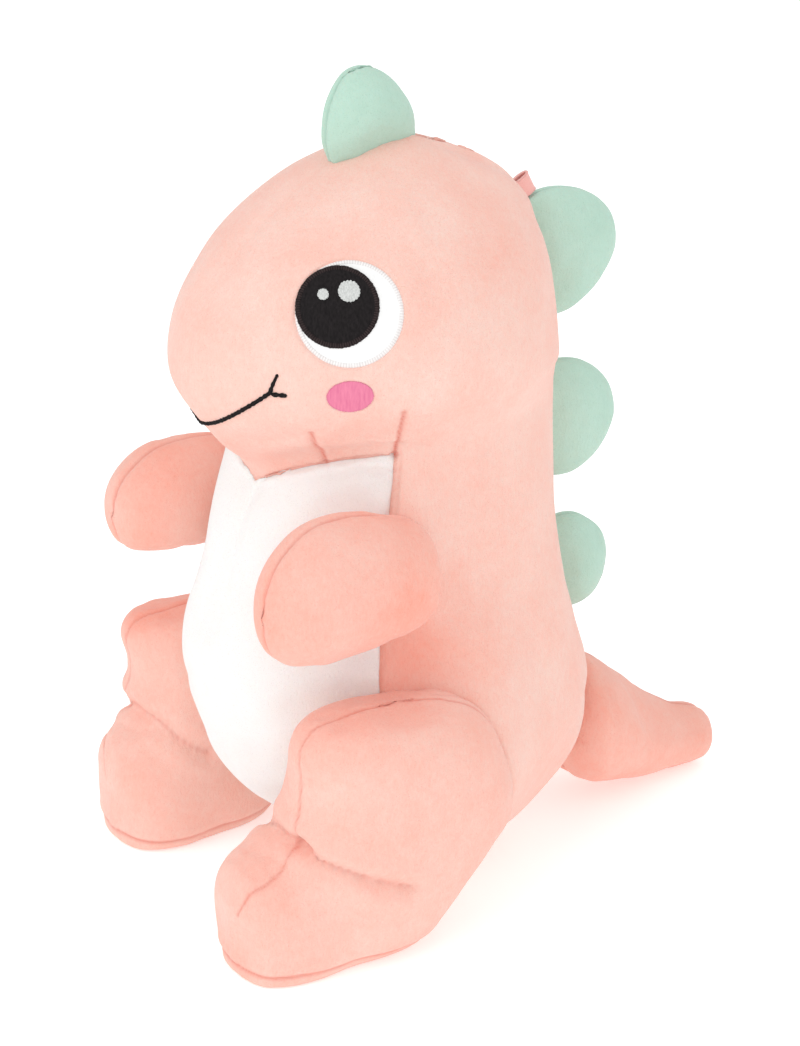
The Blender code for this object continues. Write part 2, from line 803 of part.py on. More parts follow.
def centre_over_origin():
    """Moves the finished dinosaur along its length until it is centred over the origin."""
    depths = [(thing.matrix_world @ corner.co).y
              for thing in bpy.data.objects for corner in thing.data.vertices]
    middle = (min(depths) + max(depths)) / 2
    for thing in bpy.data.objects:
        thing.location.y -= middle


def remove_everything():
    for thing in list(bpy.data.objects):
        bpy.data.objects.remove(thing, do_unlink=True)


remove_everything()
body_tree = build_body(body_surface(12, 24, 6))
build_arms(body_tree)
build_legs(body_tree)
build_tail(body_tree)
build_spikes(body_tree)
build_face(body_tree)
build_mouth(body_tree)
build_loop()
bpy.context.view_layer.update()
centre_over_origin()
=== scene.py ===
"""The finished look of a stuffed dinosaur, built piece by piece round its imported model."""

import math

import bmesh
import bpy
import numpy as np
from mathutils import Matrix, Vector
from mathutils.bvhtree import BVHTree


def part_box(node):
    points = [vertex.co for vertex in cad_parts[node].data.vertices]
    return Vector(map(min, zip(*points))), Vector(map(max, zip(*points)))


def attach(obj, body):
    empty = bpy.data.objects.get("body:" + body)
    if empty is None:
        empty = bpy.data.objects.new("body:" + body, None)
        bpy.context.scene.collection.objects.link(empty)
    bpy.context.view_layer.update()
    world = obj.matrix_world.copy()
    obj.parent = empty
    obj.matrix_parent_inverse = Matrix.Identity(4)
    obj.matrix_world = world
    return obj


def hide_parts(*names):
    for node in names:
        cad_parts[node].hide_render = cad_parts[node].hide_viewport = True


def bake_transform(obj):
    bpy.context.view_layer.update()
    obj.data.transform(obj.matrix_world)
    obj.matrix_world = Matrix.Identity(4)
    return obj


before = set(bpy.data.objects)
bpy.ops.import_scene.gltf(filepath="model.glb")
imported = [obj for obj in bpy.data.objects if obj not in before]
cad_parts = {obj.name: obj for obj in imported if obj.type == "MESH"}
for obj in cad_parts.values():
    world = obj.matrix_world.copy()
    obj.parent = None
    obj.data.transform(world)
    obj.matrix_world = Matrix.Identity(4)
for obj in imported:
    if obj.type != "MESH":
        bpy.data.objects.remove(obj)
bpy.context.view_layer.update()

MM = 0.001


# ---------------------------------------------------------------- Camera, floor and light
# The toy stands on a pale studio sweep under a wide soft light from its left, with a weaker one
# opposite and an even white surround.

BODY_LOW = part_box("right_body_panel")[0]
BODY_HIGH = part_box("left_body_panel")[1]
BODY_MIDDLE = (BODY_LOW.y + BODY_HIGH.y) / 2
CAMERA_ROUND = 57.0
CAMERA_UP = 22.5
CAMERA_DISTANCE = 1100 * MM
CAMERA_AIM = Vector((3 * MM, BODY_MIDDLE + 3.5 * MM, 124 * MM))
CAMERA_LENS = 113.6


def way(turn, rise):
    """The direction out from the toy at an angle round it, from its front to its left, and upwards."""
    turn, rise = math.radians(turn), math.radians(rise)
    return Vector((math.sin(turn) * math.cos(rise), -math.cos(turn) * math.cos(rise), math.sin(rise)))


def look(thing, place, aim):
    """Sets a camera or a lamp at a place, turned to an aim."""
    thing.location = place
    thing.rotation_euler = (aim - place).to_track_quat("-Z", "Y").to_euler()


camera = bpy.data.objects.new("camera", bpy.data.cameras.new("camera"))
camera.data.lens = CAMERA_LENS
camera.data.clip_end = 20
bpy.context.scene.collection.objects.link(camera)
look(camera, CAMERA_AIM + way(CAMERA_ROUND, CAMERA_UP) * CAMERA_DISTANCE, CAMERA_AIM)
bpy.context.scene.camera = camera

for name, turn, rise, distance, size, power in (
    ("key_light", 12, 42, 1.5, 1.3, 7.0),
    ("fill_light", 112, 40, 1.6, 1.6, 3.5),
    ("back_light", 205, 45, 1.5, 1.0, 2),
):
    lamp = bpy.data.lights.new(name, "AREA")
    lamp.size = size
    lamp.energy = power
    light = bpy.data.objects.new(name, lamp)
    bpy.context.scene.collection.objects.link(light)
    look(light, CAMERA_AIM + way(turn, rise) * distance, CAMERA_AIM)

world = bpy.data.worlds.new("surround")
world.use_nodes = True
world.node_tree.nodes["Background"].inputs["Color"].default_value = (1, 1, 1, 1)
world.node_tree.nodes["Background"].inputs["Strength"].default_value = 0.72
bpy.context.scene.world = world
bpy.context.scene.view_settings.view_transform = "Standard"

FLOOR_SIZE = 12.0
floor_mesh = bpy.data.meshes.new("floor")
half = FLOOR_SIZE / 2
floor_mesh.from_pydata([(-half, -half, 0), (half, -half, 0), (half, half, 0), (-half, half, 0)],
                       [], [(0, 1, 2, 3)])
floor = bpy.data.objects.new("floor", floor_mesh)
bpy.context.scene.collection.objects.link(floor)
paper = bpy.data.materials.new("studio_paper")
paper.use_nodes = True
paper.node_tree.nodes["Principled BSDF"].inputs["Base Color"].default_value = (0.93, 0.93, 0.93, 1)
paper.node_tree.nodes["Principled BSDF"].inputs["Roughness"].default_value = 1.0
paper.node_tree.nodes["Principled BSDF"].inputs["Emission Color"].default_value = (1, 1, 1, 1)
paper.node_tree.nodes["Principled BSDF"].inputs["Emission Strength"].default_value = 0.35
floor_mesh.materials.append(paper)


# ---------------------------------------------------------------- Velour
# Every skin is cut from one kind of cloth: a soft knit with a brushed pile about a millimetre long,
# in pink, white or mint. Its tone varies in cloudy patches and is crushed darker along the seams.
# Each piece is darkened further by a level stored at its points, which holds painted shade under and
# over the arms and on the thighs below them, and the folds are darkened with painted crease shade.


class Wire:
    """One value or colour in a material. Arithmetic on values adds the Math nodes that it needs."""

    def __init__(self, finish, socket):
        self.finish = finish
        self.socket = socket

    def maths(self, operation, first, second):
        return self.finish.node("ShaderNodeMath", {"operation": operation}, {0: first, 1: second})

    def __add__(self, other):
        return self.maths("ADD", self, other)

    def __sub__(self, other):
        return self.maths("SUBTRACT", self, other)

    def __rsub__(self, other):
        return self.maths("SUBTRACT", other, self)

    def __mul__(self, other):
        return self.maths("MULTIPLY", self, other)

    def __pow__(self, other):
        return self.maths("POWER", self, other)

    __radd__ = __add__
    __rmul__ = __mul__


class Finish:
    """A material while it is put together, round one Principled shader."""

    def __init__(self, name):
        self.material = bpy.data.materials.new(name)
        self.material.use_nodes = True
        self.tree = self.material.node_tree
        self.shader = self.tree.nodes["Principled BSDF"]

    def set(self, **sockets):
        for name, value in sockets.items():
            self.join(self.shader.inputs[name.replace("_", " ")], value)

    def join(self, socket, value):
        if isinstance(value, Wire):
            self.tree.links.new(value.socket, socket)
        elif isinstance(value, tuple) and len(value) == 3 and socket.type == "RGBA":
            socket.default_value = (*value, 1.0)
        else:
            socket.default_value = value

    def node(self, kind, settings, sockets, output=0):
        """The output of a new node, after its settings and then its sockets are set."""
        made = self.tree.nodes.new(kind)
        for name, value in settings.items():
            if name == "stops":
                for element, (place, colour) in zip(made.color_ramp.elements, value):
                    element.position = place
                    element.color = (*colour, 1.0)
            else:
                setattr(made, name, value)
        for name, value in sockets.items():
            self.join(made.inputs[name], value)
        return Wire(self, made.outputs[output])

    def mix(self, share, first, second):
        return self.node("ShaderNodeMix", {"data_type": "RGBA"}, {0: share, 6: first, 7: second}, 2)

    def place(self):
        return self.node("ShaderNodeTexCoord", {}, {}, "Object")

    def noise(self, place, scale, detail=2.0, roughness=0.5):
        sockets = {"Vector": place, "Scale": scale, "Detail": detail, "Roughness": roughness}
        return self.node("ShaderNodeTexNoise", {}, sockets, "Fac")

    def spread(self, value, low, high):
        """A value stretched so that low becomes 0 and high becomes 1, and held between them."""
        sockets = {"Value": value, "From Min": low, "From Max": high}
        return self.node("ShaderNodeMapRange", {}, sockets, "Result")

    def painted(self, name):
        """A number that was stored at the mesh's own points."""
        return self.node("ShaderNodeAttribute", {"attribute_name": name}, {}, "Fac")

    def bump(self, height, distance, strength=1.0, under=None):
        sockets = {"Height": height, "Distance": distance, "Strength": strength}
        if under:
            sockets["Normal"] = under
        return self.node("ShaderNodeBump", {}, sockets, "Normal")


def velour(name, light, deep, crushed_and_crease_shade, tint):
    """Brushed velour: two tones in cloudy patches, and a third along the seams and the folds.

    The deeper tone is also painted in by a level that each piece stores at its points: a base for the
    piece, with painted shade under and over the arms. The third tone is crushed pile along the seams,
    and painted crease shade in the folds.
    """
    finish = Finish(name)
    place = finish.place()
    cloud = finish.spread(finish.noise(place, 32.0, 2.0, 0.5), 0.30, 0.70)
    streak = finish.node("ShaderNodeMapping", {}, {"Vector": place, "Scale": (1100.0, 1100.0, 520.0)})
    pile = finish.noise(streak, 1.0, 3.0, 0.6)
    tuft = finish.noise(place, 2600.0, 2.0, 0.6)
    wisp = finish.noise(place, 320.0, 3.0, 0.6)
    seam_and_crease_shade = finish.painted("seam_and_crease_shade")
    nap = finish.painted("nap")
    # Cloudy tone, darkened by the stored level: partly painted shade under and over the arms.
    tone = finish.spread(cloud * 0.28 + wisp * 0.27 + pile * 0.35 - nap * 0.6, -0.15, 0.70)
    colour = finish.mix(tone, deep, light)
    # The third tone: crushed pile along the seams, and painted crease shade in the folds.
    colour = finish.mix(seam_and_crease_shade ** 1.4 * 0.75, colour, crushed_and_crease_shade)
    fleck = finish.spread(tuft, 0.30, 0.40)
    colour = finish.mix(0.30 - fleck * 0.30, colour, crushed_and_crease_shade)
    soft = finish.bump(pile, 0.4 * MM, 0.5)
    finish.set(Base_Color=colour, Roughness=0.95, Normal=finish.bump(tuft, 0.25 * MM, 0.5, soft))
    finish.set(Sheen_Weight=0.30, Sheen_Roughness=0.35, Sheen_Tint=tint)
    finish.set(Specular_IOR_Level=0.12)
    finish.set(Subsurface_Weight=0.10, Subsurface_Radius=(1.0, 0.4, 0.3), Subsurface_Scale=4 * MM)
    return finish.material


pink_velour = velour("pink_velour", (0.93, 0.69, 0.61), (0.93, 0.40, 0.31), (0.72, 0.17, 0.12),
                     (1.0, 0.84, 0.82))
white_velour = velour("white_velour", (0.93, 0.925, 0.915), (0.91, 0.89, 0.87), (0.62, 0.53, 0.50),
                      (1.0, 1.0, 1.0))
mint_velour = velour("mint_velour", (0.56, 0.765, 0.66), (0.42, 0.62, 0.51), (0.24, 0.40, 0.32),
                     (0.93, 1.0, 0.97))


# ---------------------------------------------------------------- Body and head
# The body and head are one bag of pink velour, sewn from a left and a right panel that meet down the
# middle of the face, head and back, with a white panel let in at the belly. Small darts under the
# cheeks draw the chin in, and the bag is packed full of polyester fibre.

# Levels round the bag, from the crown down, in millimetres: height, front, back, where it is widest,
# half width, and how far the sides are lifted above the front.
BODY_LEVELS = (
    (256.5, -4, -4, -4, 0, 0),
    (252, -19, 16, -6, 13, 0),
    (240, -42, 38, -8, 33, 0),
    (223, -63, 49, -10, 49, 0),
    (203, -76, 54, -12, 56, 0),
    (182, -78, 56, -10, 56, 3),
    (165, -67, 56, -6, 51, 10),
    (150, -54, 57, -4, 47, 17),
    (124, -65, 58, -4, 50, 4),
    (90, -74, 62, -4, 54, 0),
    (58, -68, 71, -2, 54, 0),
    (33, -51, 67, 2, 46, 0),
    (13, -24, 42, 10, 30, 0),
    (6, 22, 22, 22, 0, 0),
)
CHIN_LEVEL = 7
UNDER_LEVEL = 12
BELLY_SEAM_ANGLE = 62.0
BODY_FRONT = min(row[1] for row in BODY_LEVELS)
BODY_BACK = max(row[2] for row in BODY_LEVELS)
HEIGHT_SCALE = BODY_HIGH.z / BODY_LEVELS[0][0]
WIDTH_SCALE = BODY_HIGH.x / max(row[4] for row in BODY_LEVELS)
DEPTH_SCALE = (BODY_HIGH.y - BODY_LOW.y) / (BODY_BACK - BODY_FRONT)


def depth(millimetres):
    """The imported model's Y of a depth in the table of levels."""
    return BODY_LOW.y + (millimetres - BODY_FRONT) * DEPTH_SCALE


def between(a, b, c, d, share):
    """The value at a share of the way from b to c, on the smooth curve through a, b, c and d."""
    bend = share * (2 * a - 5 * b + 4 * c - d + share * (3 * b - a - 3 * c + d))
    return b + 0.5 * share * (c - a + bend)


def body_level(level):
    """The six numbers of the bag at any level, on smooth curves through the table's rows."""
    last = len(BODY_LEVELS) - 1
    index = min(int(level), last - 1)

    def row(at):
        inside = at if 0 <= at <= last else (-at if at < 0 else 2 * last - at)
        height, front, back, widest, half_width, lift = BODY_LEVELS[inside]
        return (height, front, back, widest, half_width, lift) if inside == at else (
            height, back, front, widest, -half_width, lift)

    share = level - index
    rows = (row(index + offset) for offset in (-1, 0, 1, 2))
    return [between(*column, share) for column in zip(*rows)]


def body_point(angle, level):
    """A point of the free surface. The angle is in degrees from the front towards the left side."""
    height, front, back, widest, half_width, lift = body_level(level)
    turn = math.radians(angle)
    ahead = math.cos(turn)
    reach = widest - front if ahead > 0 else back - widest
    around = abs((angle + 180) % 360 - 180)
    rise = lift * math.sin(math.radians(90 * min(around / BELLY_SEAM_ANGLE, 1)))
    return Vector((half_width * math.sin(turn) * WIDTH_SCALE, depth(widest - reach * ahead),
                   (height + rise) * HEIGHT_SCALE))


def body_spot(angle, height):
    """A point of the free surface at a height in metres."""
    high, low = 0.0, float(len(BODY_LEVELS) - 1)
    for _ in range(30):
        middle = (high + low) / 2
        if body_point(angle, middle).z > height:
            high = middle
        else:
            low = middle
    return body_point(angle, low)


def gathered(start, end, count, places, width):
    """Numbers from start to end that lie closer together near some places."""
    fine = np.linspace(start, end, 4000)
    density = 1 + sum(2.2 * np.exp(-(((fine - place) / width) ** 2)) for place in places)
    share = np.concatenate([[0], np.cumsum((density[1:] + density[:-1]) / 2)])
    return np.interp(np.linspace(0, share[-1], count + 1), share, fine)


def ringed(name, rings):
    """A closed mesh object of rings of points, with one point at each end and faces that face out."""
    points = [point for ring in rings for point in ring]
    starts = np.cumsum([0] + [len(ring) for ring in rings])
    columns = len(rings[1])
    faces = []
    for row in range(len(rings) - 1):
        for column in range(columns):
            following = (column + 1) % columns
            upper = [starts[row]] if row == 0 else [starts[row] + following, starts[row] + column]
            last = row == len(rings) - 2
            lower = [starts[row + 1]] if last else [starts[row + 1] + column,
                                                    starts[row + 1] + following]
            faces.append([int(corner) for corner in upper + lower])
    mesh = bpy.data.meshes.new(name)
    mesh.from_pydata(points, [], faces)
    form = bmesh.new()
    form.from_mesh(mesh)
    if form.calc_volume(signed=True) < 0:
        bmesh.ops.reverse_faces(form, faces=form.faces)
    form.to_mesh(mesh)
    form.free()
    made = bpy.data.objects.new(name, mesh)
    bpy.context.scene.collection.objects.link(made)
    return made


def points_of(piece):
    flat = np.empty(len(piece.data.vertices) * 3, np.float32)
    piece.data.vertices.foreach_get("co", flat)
    return flat.reshape(-1, 3).astype(float)


def normals_of(piece):
    flat = np.empty(len(piece.data.vertices) * 3, np.float32)
    piece.data.vertex_normals.foreach_get("vector", flat)
    return flat.reshape(-1, 3).astype(float)


def put_points(piece, points):
    piece.data.vertices.foreach_set("co", points.astype(np.float32).ravel())
    piece.data.update()


def stuff(piece, held, pressure, most):
    """Blows a cover up as its filling does: a short cloth simulation, held at its seams.

    The most is how far a point may move.
    """
    piece.vertex_groups.new(name="held").add([int(point) for point in held], 1.0, "REPLACE")
    before = points_of(piece)
    cloth = piece.modifiers.new("filling", "CLOTH")
    cloth.settings.quality = 5
    cloth.settings.mass = 0.3
    cloth.settings.tension_stiffness = 12
    cloth.settings.compression_stiffness = 12
    cloth.settings.bending_stiffness = 0.8
    cloth.settings.shrink_min = -0.035
    cloth.settings.use_pressure = True
    cloth.settings.uniform_pressure_force = pressure
    cloth.settings.vertex_group_mass = "held"
    cloth.settings.effector_weights.gravity = 0
    for moment in range(1, 21):
        bpy.context.scene.frame_set(moment)
    shown = piece.evaluated_get(bpy.context.evaluated_depsgraph_get())
    after = points_of(shown)
    piece.modifiers.remove(cloth)
    bpy.context.scene.frame_set(1)
    move = after - before
    length = np.linalg.norm(move, axis=1, keepdims=True)
    put_points(piece, before + move * np.minimum(1, most / np.maximum(length, 1e-9)))


def refine(piece, times):
    """Subdivides a piece's own mesh, with its stored numbers."""
    finer = piece.modifiers.new("finer", "SUBSURF")
    finer.levels = finer.render_levels = times
    shown = piece.evaluated_get(bpy.context.evaluated_depsgraph_get())
    mesh = bpy.data.meshes.new_from_object(shown)
    piece.modifiers.remove(finer)
    piece.data = mesh
    mesh.name = piece.name
    mesh.shade_smooth()


def store(piece, name, values):
    """Keeps one number for each point of a piece's mesh."""
    kept = piece.data.attributes.get(name) or piece.data.attributes.new(name, "FLOAT", "POINT")
    kept.data.foreach_set("value", np.asarray(values, np.float32))


def stored(piece, name):
    values = np.empty(len(piece.data.vertices), np.float32)
    piece.data.attributes[name].data.foreach_get("value", values)
    return values


def even_line(points, step):
    """A line as points one step apart, and each point's distance along it."""
    points = np.array([tuple(point) for point in points])
    lengths = np.concatenate([[0], np.cumsum(np.linalg.norm(np.diff(points, axis=0), axis=1))])
    along = np.linspace(0, lengths[-1], max(int(lengths[-1] / step), 2))
    return np.stack([np.interp(along, lengths, points[:, axis]) for axis in range(3)], 1), along


def near_line(points, line, reach):
    """Each point's distance to a line, and the place along the line that is nearest to it."""
    spots, along = even_line(line, 0.8 * MM)
    distance = np.full(len(points), 1.0)
    place = np.zeros(len(points))
    low, high = spots.min(0) - reach, spots.max(0) + reach
    near = np.nonzero(((points > low) & (points < high)).all(1))[0]
    for some in np.array_split(near, max(1, len(near) // 4000)):
        if len(some):
            gaps = np.linalg.norm(points[some, None] - spots[None], axis=2)
            best = gaps.argmin(1)
            distance[some] = gaps[np.arange(len(some)), best]
            place[some] = along[best]
    return distance, place


STITCH = 3.0 * MM


def sew(piece, line, deep, wide, pucker=0.0, swell=0.0, mark=1.0):
    """Pulls a line of stitches into a piece, with a soft roll on each side and small gathers.

    It also darkens the line: crushed pile on a seam, and painted crease shade where the line is a fold.
    """
    points, normals = points_of(piece), normals_of(piece)
    cover = BVHTree.FromPolygons(points.tolist(), [list(face.vertices) for face in piece.data.polygons])
    on_cover = [cover.find_nearest(Vector(tuple(spot)))[0] for spot in line]
    reach = 14 * MM
    distance, place = near_line(points, on_cover, reach)
    groove = np.exp(-((distance / wide) ** 2))
    dip = -deep * groove * (1 + 0.22 * np.cos(2 * np.pi * place / STITCH))
    roll = swell * np.exp(-(((distance - 2.6 * wide) / (1.4 * wide)) ** 2))
    wave = np.sin(place / (2.1 * MM)) + 0.7 * np.sin(place / (3.7 * MM) + 1.3)
    gather = pucker * wave * np.exp(-(((distance - 2.5 * MM) / (4.0 * MM)) ** 2))
    put_points(piece, points + normals * (dip + roll + gather)[:, None])
    # Darkening along the line: crushed pile on a seam, painted crease shade on a fold.
    thread = mark * np.exp(-((distance / min(0.8 * wide, 0.9 * MM)) ** 2))
    store(piece, "seam_and_crease_shade", np.maximum(stored(piece, "seam_and_crease_shade"), thread))


def dent(piece, centre, size, deep):
    """Presses or lifts a soft oval place. The size is a length along each axis."""
    points, normals = points_of(piece), normals_of(piece)
    share = np.exp(-((((points - np.array(centre)) / np.array(size)) ** 2).sum(1)))
    put_points(piece, points - normals * (deep * share)[:, None])


def crumple(piece, size, high, seed):
    """Uneven filling: slow rises and falls of the surface, as sums of a few waves."""
    points, normals = points_of(piece), normals_of(piece)
    random = np.random.default_rng(seed)
    total = np.zeros(len(points))
    for _ in range(9):
        direction = random.normal(size=3)
        direction *= random.uniform(0.6, 1.6) / np.linalg.norm(direction)
        total += np.sin(points @ direction * 2 * np.pi / size + random.uniform(0, 2 * np.pi))
    put_points(piece, points + normals * (total * high / 3)[:, None])


def paint_nap_and_shade(piece, base, *patches):
    """Stores how much darker the velour is painted at each point: a base, and patches of
    (centre, size, change). Most of the patches are painted shade, under and over the arms.
    """
    points = points_of(piece)
    nap = np.full(len(points), float(base))
    for centre, size, change in patches:
        nap += change * np.exp(-(((points - np.array(centre)) / np.array(size)) ** 2).sum(1))
    store(piece, "nap", np.clip(nap, 0, 1))


def dress(piece, finish):
    """Gives a stuffed piece its cloth, and a plain level of darkening where it has none stored."""
    if "nap" not in piece.data.attributes:
        paint_nap_and_shade(piece, 0.2)
    piece.data.materials.clear()
    piece.data.materials.append(finish)


angles = gathered(-180, 180, 104, (-180, -BELLY_SEAM_ANGLE, 0, BELLY_SEAM_ANGLE, 180), 5.0)
side = int(np.abs(angles - BELLY_SEAM_ANGLE).argmin())
other_side = int(np.abs(angles + BELLY_SEAM_ANGLE).argmin())
angles[side], angles[other_side] = BELLY_SEAM_ANGLE, -BELLY_SEAM_ANGLE
angles = angles[:-1]
last_level = len(BODY_LEVELS) - 1
levels = gathered(0, last_level, 124, (CHIN_LEVEL, UNDER_LEVEL), 0.22)
chin = int(np.abs(levels - CHIN_LEVEL).argmin())
under = int(np.abs(levels - UNDER_LEVEL).argmin())
levels[chin], levels[under] = CHIN_LEVEL, UNDER_LEVEL

rings = [[body_point(0, 0)]]
rings += [[body_point(angle, level) for angle in angles] for level in levels[1:-1]]
rings.append([body_point(0, last_level)])
body = ringed("body_and_head", rings)
columns = len(angles)
grid_angle = np.concatenate([[0], np.tile(angles, len(levels) - 2), [0]])
grid_level = np.concatenate([[0], np.repeat(levels[1:-1], columns), [last_level]])
store(body, "angle", grid_angle)
store(body, "level", grid_level)
on_belly = (np.abs(grid_angle) <= BELLY_SEAM_ANGLE) & (grid_level >= CHIN_LEVEL) & (
    grid_level <= UNDER_LEVEL)
belly_edge = on_belly & ((np.abs(np.abs(grid_angle) - BELLY_SEAM_ANGLE) < 0.5)
                         | (np.abs(grid_level - CHIN_LEVEL) < 0.01)
                         | (np.abs(grid_level - UNDER_LEVEL) < 0.01))
on_back_seam = np.abs(grid_angle) > 179.5
stuff(body, np.nonzero(on_back_seam | belly_edge)[0], pressure=4.0, most=1.0 * MM)
refine(body, 1)


def ease(piece, chosen, times):
    """Evens out a piece's surface at some of its points."""
    form = bmesh.new()
    form.from_mesh(piece.data)
    form.verts.ensure_lookup_table()
    some = [form.verts[int(index)] for index in np.nonzero(chosen)[0]]
    for _ in range(times):
        bmesh.ops.smooth_vert(form, verts=some, factor=0.5, use_axis_x=True, use_axis_y=True,
                              use_axis_z=True)
    form.to_mesh(piece.data)
    form.free()


# The filling carries the head straight over into the back, without a fold between them.
around, down = np.abs(stored(body, "angle")), stored(body, "level")
ease(body, (around > 68) & (down > 5.2) & (down < 8.6), 90)
refine(body, 1)
store(body, "seam_and_crease_shade", np.zeros(len(body.data.vertices)))


def level_line(first, last, angle, step=0.1):
    return [body_point(angle, level) for level in np.arange(first, last + step / 2, step)]


def angle_line(first, last, level):
    return [body_point(angle, level) for angle in np.linspace(first, last, 60)]


# Each dart under a cheek: the angle and height of its upper end, the angle where it meets the chin
# seam, and its depth. Each hollow of the head: its angle and height, its size and its depth. Angles
# are in degrees and the rest in millimetres.
DARTS = ((43, 177.6, 36.5, 0.5), (72, 184.5, BELLY_SEAM_ANGLE, 0.6))
HOLLOWS = ((81, 226, (9, 6, 13), 1.0), (87, 240, (9, 5, 8), 0.6), (128, 247, (14, 11, 12), 0.8))

crumple(body, 95 * MM, 0.55 * MM, 4)
crumple(body, 38 * MM, 0.18 * MM, 7)
face_seam = level_line(0.3, CHIN_LEVEL, 0)
back_seam = level_line(0.3, UNDER_LEVEL + 0.6, 180)
sew(body, face_seam, 0.12 * MM, 1.5 * MM, 0.0, 0.0, 0.10)
sew(body, back_seam, 0.4 * MM, 1.4 * MM, 0.06 * MM, 0.15 * MM)
chin_seam = angle_line(-BELLY_SEAM_ANGLE, BELLY_SEAM_ANGLE, CHIN_LEVEL)
under_seam = angle_line(-BELLY_SEAM_ANGLE, BELLY_SEAM_ANGLE, UNDER_LEVEL)
sew(body, chin_seam, 0.5 * MM, 1.3 * MM, 0.03 * MM, 0.15 * MM, 0.5)
sew(body, under_seam, 0.5 * MM, 1.3 * MM, 0.04 * MM)
for way_round in (1, -1):
    belly_seam = level_line(CHIN_LEVEL, UNDER_LEVEL, BELLY_SEAM_ANGLE * way_round)
    sew(body, belly_seam, 0.5 * MM, 1.3 * MM, 0.08 * MM, 0.1 * MM, 0.35)
    for angle, height, chin_angle, deep in DARTS:
        top = body_spot(angle * way_round, height * MM)
        foot = body_point(chin_angle * way_round, CHIN_LEVEL)
        dart = [top.lerp(foot, share) for share in np.linspace(0, 1, 24)]
        sew(body, dart, deep * MM, 1.1 * MM, 0.06 * MM, 0.25 * MM, 1.0)
    for angle, height, size, deep in HOLLOWS:
        hollow = body_spot(angle, height * MM) * Vector((way_round, 1, 1))
        dent(body, hollow, [length * MM for length in size], deep * MM)


# ---------------------------------------------------------------- Belly
# The belly is one panel of white velour, let into the front of the body from under the chin down to
# the seat. It is sewn in all round with a plain seam, and the same filling lies behind it.


def part_of(piece, name, chosen, thick, tuck):
    """A panel of its own, cut from the chosen faces of a piece and made as thick as its cloth.

    What it was cut from goes under it: the points inside the panel are tucked in.
    """
    points, normals = points_of(piece), normals_of(piece)
    faces = [list(face.vertices) for face in piece.data.polygons if chosen[face.index]]
    used = sorted({corner for face in faces for corner in face})
    order = {corner: place for place, corner in enumerate(used)}
    edges = {}
    for face in faces:
        for start, end in zip(face, face[1:] + face[:1]):
            key = frozenset((start, end))
            edges[key] = None if key in edges else (start, end)
    rim = [edge for edge in edges.values() if edge]
    count = len(used)
    solid = [[order[corner] for corner in face] for face in faces]
    solid += [[order[corner] + count for corner in reversed(face)] for face in faces]
    solid += [[order[b], order[a], order[a] + count, order[b] + count] for a, b in rim]
    on_rim = {corner for edge in rim for corner in edge}
    lift = np.array([0.0 if corner in on_rim else 0.3 * MM for corner in used])
    top = points[used] + normals[used] * lift[:, None]
    mesh = bpy.data.meshes.new(name)
    mesh.from_pydata(np.concatenate([top, top - normals[used] * thick]).tolist(), [], solid)
    made = bpy.data.objects.new(name, mesh)
    bpy.context.scene.collection.objects.link(made)
    mesh.shade_smooth()
    store(made, "seam_and_crease_shade", np.tile(stored(piece, "seam_and_crease_shade")[used], 2))
    inner = [corner for corner in used if corner not in on_rim]
    points[inner] -= normals[inner] * tuck
    put_points(piece, points)
    return made


angle_of = stored(body, "angle")
level_of = stored(body, "level")
on_panel = (level_of > CHIN_LEVEL - 1e-4) & (level_of < UNDER_LEVEL + 1e-4) & (
    np.abs(angle_of) < BELLY_SEAM_ANGLE + 1e-3)
panel_faces = [all(on_panel[corner] for corner in face.vertices) for face in body.data.polygons]
WHOLE_BODY = BVHTree.FromPolygons(points_of(body).tolist(),
                                  [list(face.vertices) for face in body.data.polygons])
VELOUR_THICKNESS = 1.2 * MM
belly = part_of(body, "belly", panel_faces, VELOUR_THICKNESS, 1.9 * MM)
# Painted shade on each side of the body, under the arm.
under_arm_shade = body_spot(72, 100 * MM)
paint_nap_and_shade(body, 0.05, *[(under_arm_shade * Vector((side, 1, 1)), (20 * MM, 20 * MM, 15 * MM), 0.75)
                    for side in (1, -1)])
dress(body, pink_velour)
dress(belly, white_velour)
for piece, nodes in ((body, ("left_body_panel", "right_body_panel", "body_stuffing")),
                     (belly, ("belly_panel",))):
    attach(piece, "torso")
    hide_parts(*nodes)


# ---------------------------------------------------------------- Legs
# Each leg is a thigh and foot in one, sewn from an outer and an inner panel that meet along the top
# of the thigh and down the instep, with a flat oval sole. A fold lies where the foot bends forward.
# The leg is stitched to the side of the body along the edge of its thigh.


def hugged(points, sink):
    """Points kept from going deeper than sink into the body, so that a limb lies against it."""
    kept = points.copy()
    for index, point in enumerate(points):
        place, normal, _, _ = WHOLE_BODY.find_nearest(Vector(point))
        gap = (Vector(point) - place).dot(normal)
        if gap < -sink:
            kept[index] = place - normal * sink
    return kept


def draw_in(limb, reach, front, back):
    """Swells the body softly up to a limb behind the plane Y = front, fully from Y = back on."""
    surface = BVHTree.FromPolygons(points_of(limb).tolist(),
                                   [list(face.vertices) for face in limb.data.polygons])
    points, normals = points_of(body), normals_of(body)
    beyond_belly = np.abs(stored(body, "angle")) > BELLY_SEAM_ANGLE + 3
    for index, point in enumerate(points):
        place, _, _, gap = surface.find_nearest(Vector(point), reach)
        if place is not None and point[1] > front and beyond_belly[index]:
            share = min((point[1] - front) / (back - front), 1.0)
            weight = share * share * (3 - 2 * share)
            points[index] += normals[index] * (weight * (reach - gap) ** 2 / (4 * reach))
    put_points(body, points)


